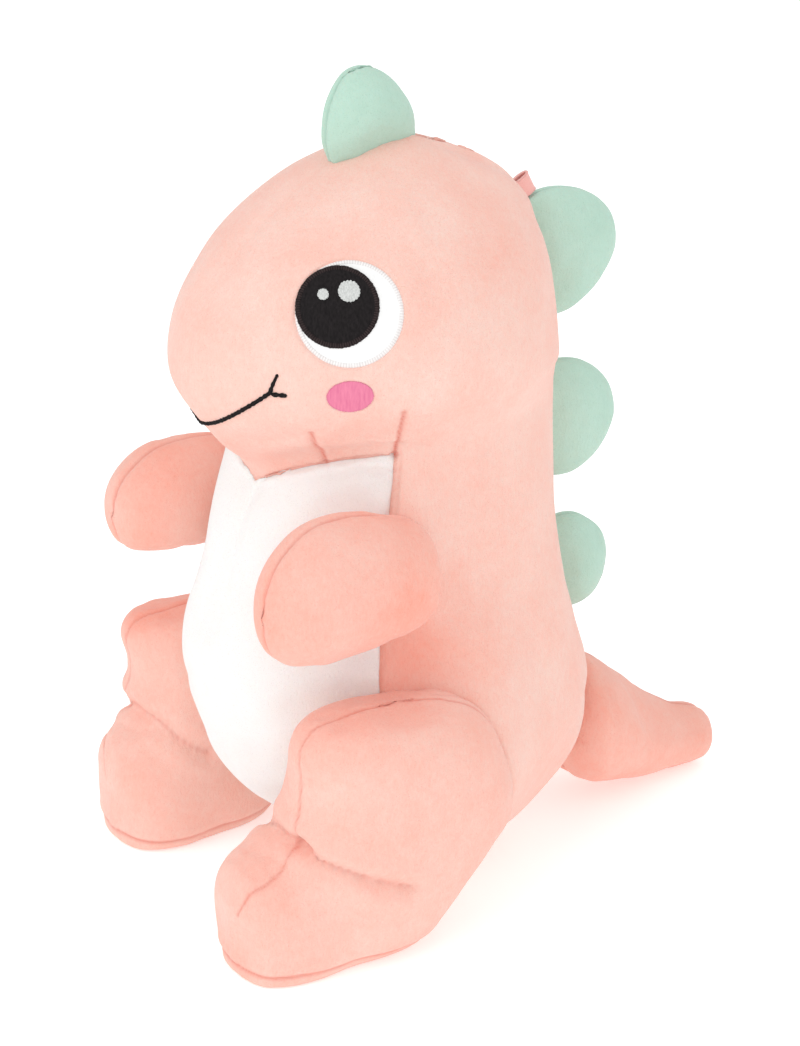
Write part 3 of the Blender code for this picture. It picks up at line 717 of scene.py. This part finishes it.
def station_rings(stations, count, columns, power=1.0):
    """Rings along smooth curves through stations of (centre, long axis, short axis).

    The first and last stations are points. With a power of 1 a ring is an ellipse, and with a
    smaller one it is squarer.
    """
    table = np.array([[*centre, *long_axis, *short_axis] for centre, long_axis, short_axis in stations])
    first, last = 2 * table[0] - table[1], 2 * table[-1] - table[-2]
    first[3:], last[3:] = -table[1, 3:], -table[-2, 3:]
    table = np.concatenate([[first], table, [last]])
    rings = []
    for place in np.linspace(0, len(stations) - 1, count + 1):
        index = min(int(place), len(stations) - 2)
        share = place - index
        row = between(*table[index:index + 4], share)
        if place in (0, len(stations) - 1):
            rings.append([tuple(row[:3])])
            continue
        turns = np.linspace(0, 2 * np.pi, columns, endpoint=False)
        along, across = [np.sign(wave) * np.abs(wave) ** power
                         for wave in (np.cos(turns), np.sin(turns))]
        rings.append([tuple(row[:3] + row[3:6] * u + row[6:] * v) for u, v in zip(along, across)])
    return rings


# Each leg: its side, its foot's distance from the middle, its toe's reach and its hip's height.
LEGS = (
    ("left", 1, 44 * MM, 104 * MM, 70 * MM),
    ("right", -1, 59.5 * MM, 90 * MM, 63 * MM),
)
HIP_SPREAD = 60 * MM
THIGH_DEPTH = 88 * MM
THIGH_THICKNESS = 40 * MM
FOOT_WIDTH = 45 * MM
LEG_SQUARENESS = 0.84
# Shares of the reach and the hip height, the slope in degrees, shares of the thigh's depth and of the
# width, and how much of the way from thigh to foot the place is.
LEG_STATIONS = (
    (0.365, 1.31, 84, 0.0, 0.0, 0.0),
    (0.365, 1.27, 84, 0.52, 0.60, 0.0),
    (0.355, 1.15, 76, 0.80, 0.90, 0.0),
    (0.337, 0.90, 65, 1.00, 1.00, 0.1),
    (0.41, 0.65, 52, 0.91, 1.02, 0.3),
    (0.50, 0.39, 40, 0.81, 1.02, 0.6),
    (0.62, 0.31, 22, 0.66, 1.00, 0.9),
    (0.71, 0.25, 12, 0.60, 0.98, 1.0),
    (0.80, 0.228, 6, 0.54, 0.86, 1.0),
    (0.86, 0.222, 2, 0.41, 0.61, 1.0),
    (0.888, 0.22, 0, 0.0, 0.0, 1.0),
)
LEG_COLUMNS = 44
SOLE_LIFT = 0.4 * MM
SOLE_SEAM = 4.6 * MM
# Seams and folds as places on the leg's rings: the ring from the hip down, and the column outwards
# from the middle of the shin.
LEG_SEAM = ((37, 3.5), (31, 4), (27, 3.5), (21, 2.5), (16, 1), (10, 0.3), (5, 0), (2, 0), (0, 0))
HIP_SEAM = ((0, 21), (2, 19), (5, 19.5), (8, 20), (11, 19), (13, 18))
ANKLE_FOLDS = ((((21, 3), (21, 5), (20, 6.5), (19, 8), (18, 10), (17, 12)), 2.3),
               (((21, 3), (21.5, 0), (21, -3), (20, -6), (18.5, -9)), 1.3))


def ring_path(rows, places):
    """A line over a piece through places of (ring, column), both of which may lie between two."""
    line = []
    for (row, column), (next_row, next_column) in zip(places, places[1:]):
        for share in np.linspace(0, 1, 9):
            along = row + (next_row - row) * share
            round_it = column + (next_column - column) * share
            upper, left = int(along), math.floor(round_it)
            corners = [Vector(rows[min(upper + down, len(rows) - 1)][(left + over) % len(rows[0])])
                       for down in (0, 1) for over in (0, 1)]
            first = corners[0].lerp(corners[1], round_it - left)
            second = corners[2].lerp(corners[3], round_it - left)
            line.append(first.lerp(second, along - upper))
    return line


def rest_on_floor(piece):
    """Flattens what would reach below the floor."""
    points = points_of(piece)
    points[:, 2] = np.maximum(points[:, 2], SOLE_LIFT)
    put_points(piece, points)


def welt(piece, height):
    """The seam of a sole: a groove all round at a height, with the cloth rolled over above it."""
    points, normals = points_of(piece), normals_of(piece)
    gap = points[:, 2] - height
    groove = np.exp(-((gap / (0.9 * MM)) ** 2))
    roll = np.exp(-(((gap - 2.6 * MM) / (2.0 * MM)) ** 2))
    under = np.exp(-(((gap + 2.2 * MM) / (1.2 * MM)) ** 2))
    level = normals * np.array([1, 1, 0.3])
    put_points(piece, points + level * (roll * 0.4 - groove * 0.7 - under * 0.3)[:, None] * MM)
    store(piece, "seam_and_crease_shade", np.maximum(stored(piece, "seam_and_crease_shade"), 0.8 * groove))


ZERO = depth(0)
for word, side, foot_spread, reach, hip_height in LEGS:
    stations = []
    for share, height, slope, deep, wide, footward in LEG_STATIONS:
        turn = math.radians(slope)
        spread = HIP_SPREAD + (foot_spread - HIP_SPREAD) * footward
        width = THIGH_THICKNESS + (FOOT_WIDTH - THIGH_THICKNESS) * footward
        up = Vector((0, -math.sin(turn), math.cos(turn))) * (THIGH_DEPTH / 2 * deep)
        stations.append((Vector((spread * side, ZERO - reach * share, hip_height * height)), up,
                         Vector((width / 2 * wide * side, 0, 0))))
    rings = station_rings(stations, 40, LEG_COLUMNS, LEG_SQUARENESS)
    leg = ringed(word + "_leg", rings)
    put_points(leg, hugged(points_of(leg), 2.0 * MM))
    rest_on_floor(leg)
    held = [0] + [index for index, point in enumerate(points_of(leg))
                  if point[2] < 1 * MM or (index - 1) % LEG_COLUMNS in (0, LEG_COLUMNS // 2)]
    stuff(leg, held, pressure=3.0, most=0.6 * MM)
    refine(leg, 2)
    store(leg, "seam_and_crease_shade", np.zeros(len(leg.data.vertices)))
    crumple(leg, 60 * MM, 0.45 * MM, 11 + side)
    draw_in(leg, 46 * MM, depth(-30), depth(2))
    rows = rings[1:-1]
    edge = ring_path(rows, LEG_SEAM) + ring_path(rows, HIP_SEAM)
    sew(leg, edge, 0.4 * MM, 0.9 * MM, 0.02 * MM, 0.12 * MM, 0.75)
    # The ankle folds are darkened with painted crease shade.
    for fold, deep in ANKLE_FOLDS:
        sew(leg, ring_path(rows, fold), deep * MM, 2.4 * MM, 0.0, 0.9 * MM, 0.45)
    welt(leg, SOLE_SEAM)
    rest_on_floor(leg)
    # Painted shade on the top of the thigh below the arm; the toe and the whole leg are set a little
    # darker.
    knee_shade = Vector((62 * MM * side, depth(-60), 84 * MM))
    toe = Vector((50 * MM * side, depth(-100), 34 * MM))
    paint_nap_and_shade(leg, 0.22, (knee_shade, (17 * MM, 32 * MM, 12 * MM), 0.45), (toe, (20 * MM, 16 * MM, 9 * MM), 0.22))
    dress(leg, pink_velour)
    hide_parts(word + "_leg_outer_panel", word + "_leg_inner_panel", word + "_leg_stuffing",
                word + "_sole")
    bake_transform(leg)


# ---------------------------------------------------------------- Arms
# Each arm is a short stuffed paw of two panels that meet in one seam all round its edge, stitched to
# the side of the body at its root.

# Each arm: its side, its height, the angle round the body where it is sewn on, and that seam's height.
ARMS = (
    ("left", 1, 46.5 * MM, 74, 131.5 * MM),
    ("right", -1, 37 * MM, 80, 126.5 * MM),
)
ARM_LENGTH = 64 * MM
ARM_THICKNESS = 32 * MM
ARM_SEAM_SPREAD = 54 * MM
# Share of the length, shares of the height and the thickness, and a small rise in millimetres.
ARM_STATIONS = (
    (0.00, 0.0, 0.0, 0.0),
    (0.07, 0.62, 0.66, 0.0),
    (0.26, 0.88, 0.90, 0.5),
    (0.51, 1.00, 1.00, 1.0),
    (0.74, 0.95, 0.98, 0.6),
    (0.92, 0.62, 0.68, -1.8),
    (1.00, 0.0, 0.0, -3.0),
)
ARM_COLUMNS = 40
for word, side, tall, angle, seam_height in ARMS:
    root = body_spot(angle, seam_height)
    stations = []
    for share, height, thick, rise in ARM_STATIONS:
        centre = Vector((ARM_SEAM_SPREAD * side, root.y - ARM_LENGTH * share, root.z + rise * MM))
        stations.append((centre, Vector((0, 0, tall / 2 * height)),
                         Vector((ARM_THICKNESS / 2 * thick * side, 0, 0))))
    rings = station_rings(stations, 30, ARM_COLUMNS, 0.94)
    arm = ringed(word + "_arm", rings)
    put_points(arm, hugged(points_of(arm), 1.5 * MM))
    edge = [index for index in range(1, len(arm.data.vertices))
            if (index - 1) % ARM_COLUMNS in (0, ARM_COLUMNS // 2)]
    stuff(arm, edge, pressure=4.0, most=0.7 * MM)
    refine(arm, 1)
    store(arm, "seam_and_crease_shade", np.zeros(len(arm.data.vertices)))
    crumple(arm, 45 * MM, 0.35 * MM, 21 + side)
    draw_in(arm, 26 * MM, root.y - 14 * MM, root.y + 2 * MM)
    around = [ring[0] for ring in rings[1:]]
    around += [ring[ARM_COLUMNS // 2] for ring in reversed(rings[1:-1])]
    sew(arm, around, 0.5 * MM, 1.0 * MM, 0.07 * MM, 0.15 * MM, 0.7)
    # Painted shade over the whole arm, which faces away from the light, deepest in its middle.
    arm_shade = Vector((70 * MM * side, root.y - 24 * MM, root.z - 2 * MM))
    paint_nap_and_shade(arm, 0.50, (arm_shade, (20 * MM, 20 * MM, 16 * MM), 0.34))
    dress(arm, pink_velour)
    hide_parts(word + "_arm_outer_panel", word + "_arm_inner_panel", word + "_arm_stuffing")
    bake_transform(arm)


# ---------------------------------------------------------------- Tail
# The tail is a cone of two halves with a seam above and below. It drags on the floor, and its root is
# stitched round the seat of the body, where the cloth gathers in soft rings.

TAIL_LENGTH = 61.5 * MM
TAIL_ROOT_HEIGHT = 54 * MM
TAIL_START = depth(BODY_LEVELS[10][2]) - 4 * MM
# Share of the length, height of the middle and radius in shares of the root's height.
TAIL_STATIONS = (
    (-0.02, 0.62, 0.0),
    (0.0, 0.62, 0.50),
    (0.10, 0.61, 0.88),
    (0.22, 0.565, 0.88),
    (0.38, 0.465, 0.77),
    (0.56, 0.35, 0.62),
    (0.76, 0.25, 0.475),
    (0.92, 0.215, 0.38),
    (0.985, 0.21, 0.22),
    (1.00, 0.21, 0.0),
)
TAIL_COLUMNS = 44
# Each soft fold round the root: its ring, its depth in millimetres, and its first and last column.
TAIL_FOLDS = ((9, 0.5, 4, 15), (12, 0.4, 6, 18), (15, 0.3, 3, 12))
stations = []
for share, height, radius in TAIL_STATIONS:
    up = Vector((0, 0, TAIL_ROOT_HEIGHT / 2 * radius))
    centre = Vector((0, TAIL_START + (TAIL_LENGTH + 6 * MM) * share, TAIL_ROOT_HEIGHT * height))
    stations.append((centre, up, Vector((up.z, 0, 0))))
rings = station_rings(stations, 34, TAIL_COLUMNS)
tail = ringed("tail", rings)
rest_on_floor(tail)
edge = [index for index, point in list(enumerate(points_of(tail)))[1:-1]
        if (index - 1) % TAIL_COLUMNS in (0, TAIL_COLUMNS // 2) or point[2] < 1 * MM]
stuff(tail, edge, pressure=3.0, most=0.9 * MM)
refine(tail, 1)
store(tail, "seam_and_crease_shade", np.zeros(len(tail.data.vertices)))
crumple(tail, 50 * MM, 0.4 * MM, 31)
# The soft folds round the root are darkened a little with painted crease shade.
for place, deep, start, end in TAIL_FOLDS:
    ring = rings[place]
    for half in (ring[start:end], ring[-end:-start]):
        sew(tail, half, deep * MM, 2.4 * MM, 0.0, 0.15 * MM, 0.12)
for column in (0, TAIL_COLUMNS // 2):
    sew(tail, [ring[column] for ring in rings[1:-1]], 0.6 * MM, 1.2 * MM, 0.08 * MM, 0.15 * MM)
rest_on_floor(tail)
paint_nap_and_shade(tail, 0.55)
dress(tail, pink_velour)
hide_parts("left_tail_panel", "right_tail_panel", "tail_stuffing")
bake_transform(tail)


# ---------------------------------------------------------------- Spikes
# Four half-round spikes of mint velour stand along the back seam. Each is two halves sewn round the
# edge, lightly stuffed, and caught in the back seam along its flat side.

# Each spike: its distance along the seam from the top of the head, half its length and its height.
SPIKES = (
    ("crown_spike", -5 * MM, 16.5 * MM, 25.5 * MM),
    ("nape_spike", 84 * MM, 22 * MM, 34 * MM),
    ("middle_spike", 143 * MM, 20.5 * MM, 31 * MM),
    ("lower_spike", 198.5 * MM, 17.5 * MM, 25 * MM),
)
SPIKE_THICKNESS = 19 * MM
# Share of the height, and shares of the length and the thickness there.
SPIKE_STATIONS = (
    (-0.09, 0.0, 0.0),
    (-0.09, 0.90, 0.50),
    (0.02, 0.97, 0.62),
    (0.17, 1.00, 0.84),
    (0.38, 0.99, 1.00),
    (0.62, 0.86, 0.92),
    (0.82, 0.62, 0.70),
    (0.95, 0.34, 0.38),
    (1.00, 0.0, 0.0),
)
SPIKE_COLUMNS = 44

seam_line = [body_point(0, level / 16) for level in range(64, 0, -1)]
crown_place = len(seam_line)
seam_line += [body_point(180, level / 16) for level in range(UNDER_LEVEL * 16)]
seam_line = np.array([tuple(point) for point in seam_line])
seam_along = np.concatenate([[0], np.cumsum(np.linalg.norm(np.diff(seam_line, axis=0), axis=1))])
seam_along -= seam_along[crown_place]


def back(distance):
    """A point of the seam over the head and down the back, at a distance from the crown."""
    return Vector([float(np.interp(distance, seam_along, seam_line[:, axis])) for axis in range(3)])


for name, place, half_length, tall in SPIKES:
    along = (back(place + 4 * MM) - back(place - 4 * MM)).normalized()
    out = Vector((1, 0, 0)).cross(along)
    table = np.array(SPIKE_STATIONS)
    first, last = 2 * table[0] - table[1], 2 * table[-1] - table[-2]
    first[1:], last[1:] = -table[1, 1:], -table[-2, 1:]
    table = np.concatenate([[first], table, [last]])
    rings = []
    for row in np.linspace(0, len(SPIKE_STATIONS) - 1, 27):
        index = min(int(row), len(SPIKE_STATIONS) - 2)
        share = row - index
        high, long_share, thick_share = between(*table[index:index + 4], share)
        pole = row in (0, len(SPIKE_STATIONS) - 1)
        ring = []
        for step in range(1 if pole else SPIKE_COLUMNS):
            turn = 2 * math.pi * step / SPIKE_COLUMNS
            reach = 0 if pole else half_length * long_share * math.cos(turn)
            thick = 0 if pole else SPIKE_THICKNESS / 2 * thick_share * math.sin(turn)
            ring.append(back(place + reach) + Vector((thick, 0, 0)) + out * (tall * high))
        rings.append(ring)
    spike = ringed(name, rings)
    edge = [index for index in range(1, len(spike.data.vertices))
            if (index - 1) % SPIKE_COLUMNS in (0, SPIKE_COLUMNS // 2)
            or (index - 1) // SPIKE_COLUMNS < 5]
    stuff(spike, edge, pressure=3.0, most=0.6 * MM)
    refine(spike, 1)
    store(spike, "seam_and_crease_shade", np.zeros(len(spike.data.vertices)))
    crumple(spike, 30 * MM, 0.25 * MM, 41 + len(name))
    around = [ring[0] for ring in rings[3:]]
    around += [ring[SPIKE_COLUMNS // 2] for ring in reversed(rings[3:-1])]
    sew(spike, around, 0.35 * MM, 0.9 * MM, 0.06 * MM, 0.1 * MM, 0.6)
    dress(spike, mint_velour)
    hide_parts(name + "_left_panel", name + "_right_panel", name + "_stuffing")
    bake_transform(spike)


# ---------------------------------------------------------------- Eyes and cheeks
# Each eye is embroidered in layers: a smooth white oval with a satin-stitched rim, a black pupil with
# a raised satin rim of its own, and two small white glints. The cheek is a flat patch of rose stitches.


def thread(name, light, deep, gloss, sheen, fine=1500.0):
    """Embroidery thread: rows of stitches run up the patch, with small gaps between them."""
    finish = Finish(name)
    place = finish.place()
    grain = finish.node("ShaderNodeMapping", {}, {"Vector": place, "Scale": (fine, fine, 260.0)})
    strands = finish.noise(grain, 1.0, 2.0, 0.6)
    ridge = finish.painted("ridge")
    tone = finish.spread(strands * 0.6 + ridge * 0.5, 0.2, 0.8)
    colour = finish.mix(tone, deep, light)
    finish.set(Base_Color=colour, Roughness=gloss, Specular_IOR_Level=0.06)
    finish.set(Normal=finish.bump(strands, 0.25 * MM, 0.6))
    finish.set(Sheen_Weight=sheen, Sheen_Roughness=0.3)
    return finish.material


white_cloth = thread("white_cloth", (0.96, 0.96, 0.95), (0.86, 0.86, 0.86), 0.75, 0.15)
pale_thread = thread("pale_thread", (0.93, 0.91, 0.90), (0.72, 0.69, 0.68), 0.55, 0.1)
glint_thread = thread("glint_thread", (0.85, 0.87, 0.85), (0.30, 0.31, 0.30), 0.6, 0.1, 2600.0)
black_thread = thread("black_thread", (0.028, 0.024, 0.025), (0.002, 0.002, 0.002), 0.75, 0.0)
brown_thread = thread("brown_thread", (0.050, 0.036, 0.036), (0.004, 0.003, 0.003), 0.7, 0.0)
rose_thread = thread("rose_thread", (0.90, 0.30, 0.43), (0.66, 0.14, 0.28), 0.65, 0.1)


class Patch:
    """A place on the head where embroidery lies, measured backwards and upwards from its middle."""

    def __init__(self, angle, height, side):
        step = 3.0
        self.side = side
        self.centre = body_spot(angle, height)
        behind, ahead = body_spot(angle + step, height), body_spot(angle - step, height)
        above, below = body_spot(angle, height + step * MM), body_spot(angle, height - step * MM)
        self.back = (behind - ahead).normalized()
        self.out = self.back.cross(above - below).normalized()
        self.up = self.out.cross(self.back)

    def point(self, back, up, lift):
        start = self.centre + self.back * back + self.up * up + self.out * (30 * MM)
        flip = Vector((self.side, 1, 1))
        place, normal, _, _ = WHOLE_BODY.ray_cast(start * flip, -self.out * flip)
        return place + self.out * flip * lift


def press(patch, wide, tall, deep):
    """Sinks the cloth of the head under an oval of embroidery, which lies as low as its pile."""
    points, normals = points_of(body), normals_of(body)
    flip = np.array([patch.side, 1, 1])
    away = points * flip - np.array(patch.centre)
    back_by, up_by, over = away @ patch.back, away @ patch.up, away @ patch.out
    gap = (np.hypot(back_by / wide, up_by / tall) - 1) * min(wide, tall)
    share = np.clip(0.5 - gap / (1.2 * MM), 0, 1) * (over > -12 * MM)
    put_points(body, points - normals * (deep * share)[:, None])


def fix(made, ridges, finish, node):
    """Gives a piece of embroidery its thread and fixes it to the head."""
    store(made, "ridge", ridges)
    made.data.shade_smooth()
    made.data.materials.append(finish)
    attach(made, "torso")
    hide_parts(node)


def stitched(name, patch, middle, rings, columns, finish):
    """A closed piece of embroidery over a patch.

    Each ring is (half width, half height, lift, ridge). The rings go from the middle of the top over
    the outer edge to the middle of the underside. The ridge is how far single stitches stand out.
    """
    points, ridges = [], []
    random = np.random.default_rng(len(name))
    jag = random.uniform(-1, 1, columns)
    for wide, tall, lift, ridge in rings:
        count = columns if wide > 0 else 1
        row = []
        for step in range(count):
            turn = 2 * math.pi * step / columns
            stitch = (1 if step % 2 else -1) * ridge
            reach = 1 + (stitch * 0.5 + jag[step] * ridge * 0.8) / max(wide, 1e-6)
            place = (middle[0] + wide * reach * math.cos(turn), middle[1] + tall * reach * math.sin(turn))
            row.append(patch.point(*place, lift + max(stitch, 0)))
            ridges.append(0.5 if ridge == 0 else (1.0 if step % 2 else 0.0))
        points.append(row)
    fix(ringed(name, points), ridges, finish, name)


def disc_rings(wide, tall, low, high, count, dome=0.0, ridge=0.0):
    """Rings of a flat patch with a rounded rim."""
    rings = []
    for share in np.linspace(0, 1, count + 1):
        reach = math.sin(share * math.pi / 2)
        rings.append((wide * reach, tall * reach, high + dome * (1 - reach ** 2),
                      ridge if share == 1 else 0.0))
    rings.append((wide * 1.004, tall * 1.004, low, ridge))
    rings.append((0, 0, low, 0.0))
    return rings


def rim_rings(inner, outer, low, high, ridge):
    """Rings of a raised band of satin stitches: up from its inner edge, over it and down outside."""
    middle, half = (inner + outer) / 2, (outer - inner) / 2
    rings = []
    for turn in np.linspace(math.pi, 0, 7):
        reach = middle + half * math.cos(turn)
        lift = low + (high - low) * math.sin(turn) ** 0.7
        rings.append((reach, reach, lift, ridge))
    return rings


def band(name, patch, middle, rings, columns, finish):
    """A closed ring of embroidery over a patch: its first and last rings are joined underneath."""
    points, ridges = [], []
    random = np.random.default_rng(len(name) + 5)
    jag = random.uniform(-1, 1, columns)
    for order, (wide, tall, lift, ridge) in enumerate(rings):
        outer = order / (len(rings) - 1)
        for step in range(columns):
            turn = 2 * math.pi * step / columns
            stitch = (1 if step % 2 else 0) * ridge
            reach = 1 + jag[step] * ridge * outer / wide
            points.append(patch.point(middle[0] + wide * reach * math.cos(turn),
                                      middle[1] + tall * reach * math.sin(turn), lift + stitch))
            ridges.append(float(step % 2))
    faces = []
    for ring in range(len(rings)):
        for step in range(columns):
            following = (step + 1) % columns
            first, second = ring * columns, (ring + 1) % len(rings) * columns
            faces.append((first + step, second + step, second + following, first + following))
    mesh = bpy.data.meshes.new(name)
    mesh.from_pydata(points, [], faces)
    form = bmesh.new()
    form.from_mesh(mesh)
    bmesh.ops.recalc_face_normals(form, faces=form.faces)
    form.to_mesh(mesh)
    form.free()
    made = bpy.data.objects.new(name, mesh)
    bpy.context.scene.collection.objects.link(made)
    fix(made, ridges, finish, name)


FACE_TURN = 6.5
EYE_ANGLE = 60.5
EYE_HEIGHT = 217.8 * MM
EYE_WHITE = 30.5 / 2 * MM
EYE_RIM = 1.7 * MM
PUPIL = 23 / 2 * MM
PUPIL_PLACE = (-3.7 * MM, 1.9 * MM)
PUPIL_RIM = 1.6 * MM
GLINTS = (("large_glint", 6.8 / 2 * MM, (3.6 * MM, 4.6 * MM)),
          ("small_glint", 3.5 / 2 * MM, (-4.4 * MM, 3.6 * MM)))
CHEEK_ANGLE = 64.0
CHEEK_HEIGHT = 191.8 * MM
CHEEK_HALVES = (14.5 / 2 * MM, 10.2 / 2 * MM)

for word, side in (("left_", 1), ("right_", -1)):
    eye = Patch(EYE_ANGLE - FACE_TURN * side, EYE_HEIGHT, side)
    press(eye, EYE_WHITE + EYE_RIM, EYE_WHITE + EYE_RIM, 1.3 * MM)
    rings = disc_rings(EYE_WHITE + 0.3 * MM, EYE_WHITE + 0.3 * MM, -1.7 * MM, -0.45 * MM, 12, 0.2 * MM)
    stitched(word + "eye_white", eye, (0, 0), rings, 96, white_cloth)
    rings = rim_rings(EYE_WHITE - 0.2 * MM, EYE_WHITE + EYE_RIM, -1.6 * MM, -0.25 * MM, 0.06 * MM)
    band(word + "eye_border", eye, (0, 0), rings, 240, pale_thread)
    rings = disc_rings(PUPIL + 0.3 * MM, PUPIL + 0.3 * MM, -0.8 * MM, 0.0 * MM, 10, 0.1 * MM)
    stitched(word + "pupil", eye, PUPIL_PLACE, rings, 72, black_thread)
    rings = rim_rings(PUPIL - 0.2 * MM, PUPIL + PUPIL_RIM, -0.8 * MM, 0.25 * MM, 0.12 * MM)
    band(word + "pupil_border", eye, PUPIL_PLACE, rings, 200, brown_thread)
    for name, half, (back_by, up_by) in GLINTS:
        middle = (PUPIL_PLACE[0] + back_by, PUPIL_PLACE[1] + up_by)
        rings = disc_rings(half, half, -0.1 * MM, 0.35 * MM, 4, 0.1 * MM, 0.15 * MM)
        stitched(word + name, eye, middle, rings, 40, glint_thread)
    cheek = Patch(CHEEK_ANGLE - FACE_TURN * side, CHEEK_HEIGHT, side)
    press(cheek, *CHEEK_HALVES, 0.7 * MM)
    rings = disc_rings(*CHEEK_HALVES, -1.0 * MM, -0.1 * MM, 8, 0.2 * MM, 0.16 * MM)
    stitched(word + "cheek", cheek, (0, 0), rings, 110, rose_thread)


# ---------------------------------------------------------------- Mouth
# The smile is one line of back stitches in thick black thread, from cheek to cheek, with a second
# short stitch or two at each corner.

MOUTH_HEIGHT = 172 * MM
MOUTH_ANGLE = 40.5
MOUTH_RISE = 20.2 * MM
MOUTH_BEND = 1.71
MOUTH_THREAD = 0.72 * MM
MOUTH_STITCH = 2.5 * MM
MOUTH_STEP = 0.35 * MM
MOUTH_COLUMNS = 10


def smile_height(angle):
    """The height of the smile at an angle from the middle of the face."""
    return MOUTH_HEIGHT + MOUTH_RISE * (abs(angle) / MOUTH_ANGLE) ** MOUTH_BEND


def over_body(angle, height):
    """The place of the finished head at an angle from the middle of the face and a height."""
    return WHOLE_BODY.find_nearest(body_spot(angle - FACE_TURN, height))[0]


def back_stitches(name, places, thick, ends):
    """Overlapping short stitches of twisted thread along places on the head."""
    line, _ = even_line([over_body(*place) for place in places], MOUTH_STEP)
    rings = []
    last = len(line) - 1
    for index, spot in enumerate(line):
        place, out, _, _ = WHOLE_BODY.find_nearest(Vector(spot))
        along = (Vector(line[min(index + 1, last)]) - Vector(line[max(index - 1, 0)])).normalized()
        side = along.cross(out).normalized()
        run = index * MOUTH_STEP / MOUTH_STITCH
        share = index / last
        taper = min(1.0, (share + ends) / 0.18, (1 - share + ends) / 0.18)
        swell = thick * taper * (0.78 + 0.22 * abs(math.sin(math.pi * run)))
        ring = []
        if index in (0, last):
            rings.append([tuple(place)])
            continue
        for step in range(MOUTH_COLUMNS):
            turn = 2 * math.pi * step / MOUTH_COLUMNS
            strand = 1 + 0.13 * math.cos(2 * turn + 2 * math.pi * run * 1.5)
            ring.append(tuple(place + (side * math.cos(turn) + out * (math.sin(turn) + 0.05))
                              * (swell * strand)))
        rings.append(ring)
    made = ringed(name, rings)
    fix(made, np.full(len(made.data.vertices), 0.5), black_thread, name)


corner = smile_height(MOUTH_ANGLE)
smile = [(angle, smile_height(angle)) for angle in np.linspace(-MOUTH_ANGLE, MOUTH_ANGLE, 60)]
smile = ([(-MOUTH_ANGLE - 2, corner + 6.5 * MM), (-MOUTH_ANGLE - 0.8, corner + 3 * MM)] + smile
         + [(MOUTH_ANGLE + 0.8, corner + 3 * MM), (MOUTH_ANGLE + 2, corner + 6.5 * MM)])
back_stitches("mouth_line", smile, MOUTH_THREAD, 0.12)
for word, side in (("left_", 1), ("right_", -1)):
    places = [(side * (MOUTH_ANGLE + turn), corner - 0.3 * MM) for turn in (0.3, 2.0, 4.0, 5.5)]
    back_stitches(word + "mouth_stroke", places, 0.75 * MM, 0.08)


# ---------------------------------------------------------------- Hanging loop
# A short strip of pink satin ribbon, folded once and caught in the back seam above the nape spike.

LOOP_PLACE = 59 * MM
LOOP_WIDTH = 7 * MM
LOOP_LENGTH = 8 * MM
LOOP_GAP = 2.8 * MM
RIBBON = 0.45 * MM

satin = Finish("satin_ribbon")
place = satin.place()
weave = satin.node("ShaderNodeMapping", {}, {"Vector": place, "Scale": (700.0, 2600.0, 2600.0)})
ribs = satin.noise(weave, 1.0, 2.0, 0.5)
satin.set(Base_Color=satin.mix(ribs, (0.86, 0.36, 0.33), (0.95, 0.56, 0.50)), Roughness=0.35)
satin.set(Normal=satin.bump(ribs, 0.15 * MM, 0.4), Sheen_Weight=0.2)

base = back(LOOP_PLACE)
along = (back(LOOP_PLACE + 4 * MM) - back(LOOP_PLACE - 4 * MM)).normalized()
out = Vector((1, 0, 0)).cross(along)
fold = ((0.35, -0.18), (0.55, 0.12), (0.85, 0.34), (1.0, 0.62), (0.82, 0.87), (0.36, 0.985))
sides = [(-wide, high) for wide, high in fold] + [(wide, high) for wide, high in reversed(fold)]
line, _ = even_line([base + Vector((wide * LOOP_GAP / 2, 0, 0)) + out * (high * LOOP_LENGTH)
                     for wide, high in sides], 0.4 * MM)
points, faces = [], []
across_steps = 9
for index, spot in enumerate(line):
    before, after = line[max(index - 1, 0)], line[min(index + 1, len(line) - 1)]
    normal = Vector(after - before).normalized().cross(along)
    for face_side in (-1, 1):
        for step in range(across_steps + 1):
            wide = LOOP_WIDTH * (step / across_steps - 0.5) * face_side
            selvedge = 0.25 * MM if step in (0, across_steps) else 0
            points.append(Vector(spot) + along * wide + normal * face_side * (RIBBON / 2 + selvedge))
around = 2 * (across_steps + 1)
for index in range(len(line) - 1):
    for step in range(around):
        following = (step + 1) % around
        first, second = index * around, (index + 1) * around
        faces.append((first + step, second + step, second + following, first + following))
faces.append(tuple(range(around)))
faces.append(tuple(reversed(range((len(line) - 1) * around, len(line) * around))))
mesh = bpy.data.meshes.new("ribbon_loop")
mesh.from_pydata(points, [], faces)
mesh.shade_smooth()
loop = bpy.data.objects.new("ribbon_loop", mesh)
bpy.context.scene.collection.objects.link(loop)
mesh.materials.append(satin.material)
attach(loop, "hang_loop")
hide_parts("hang_loop")
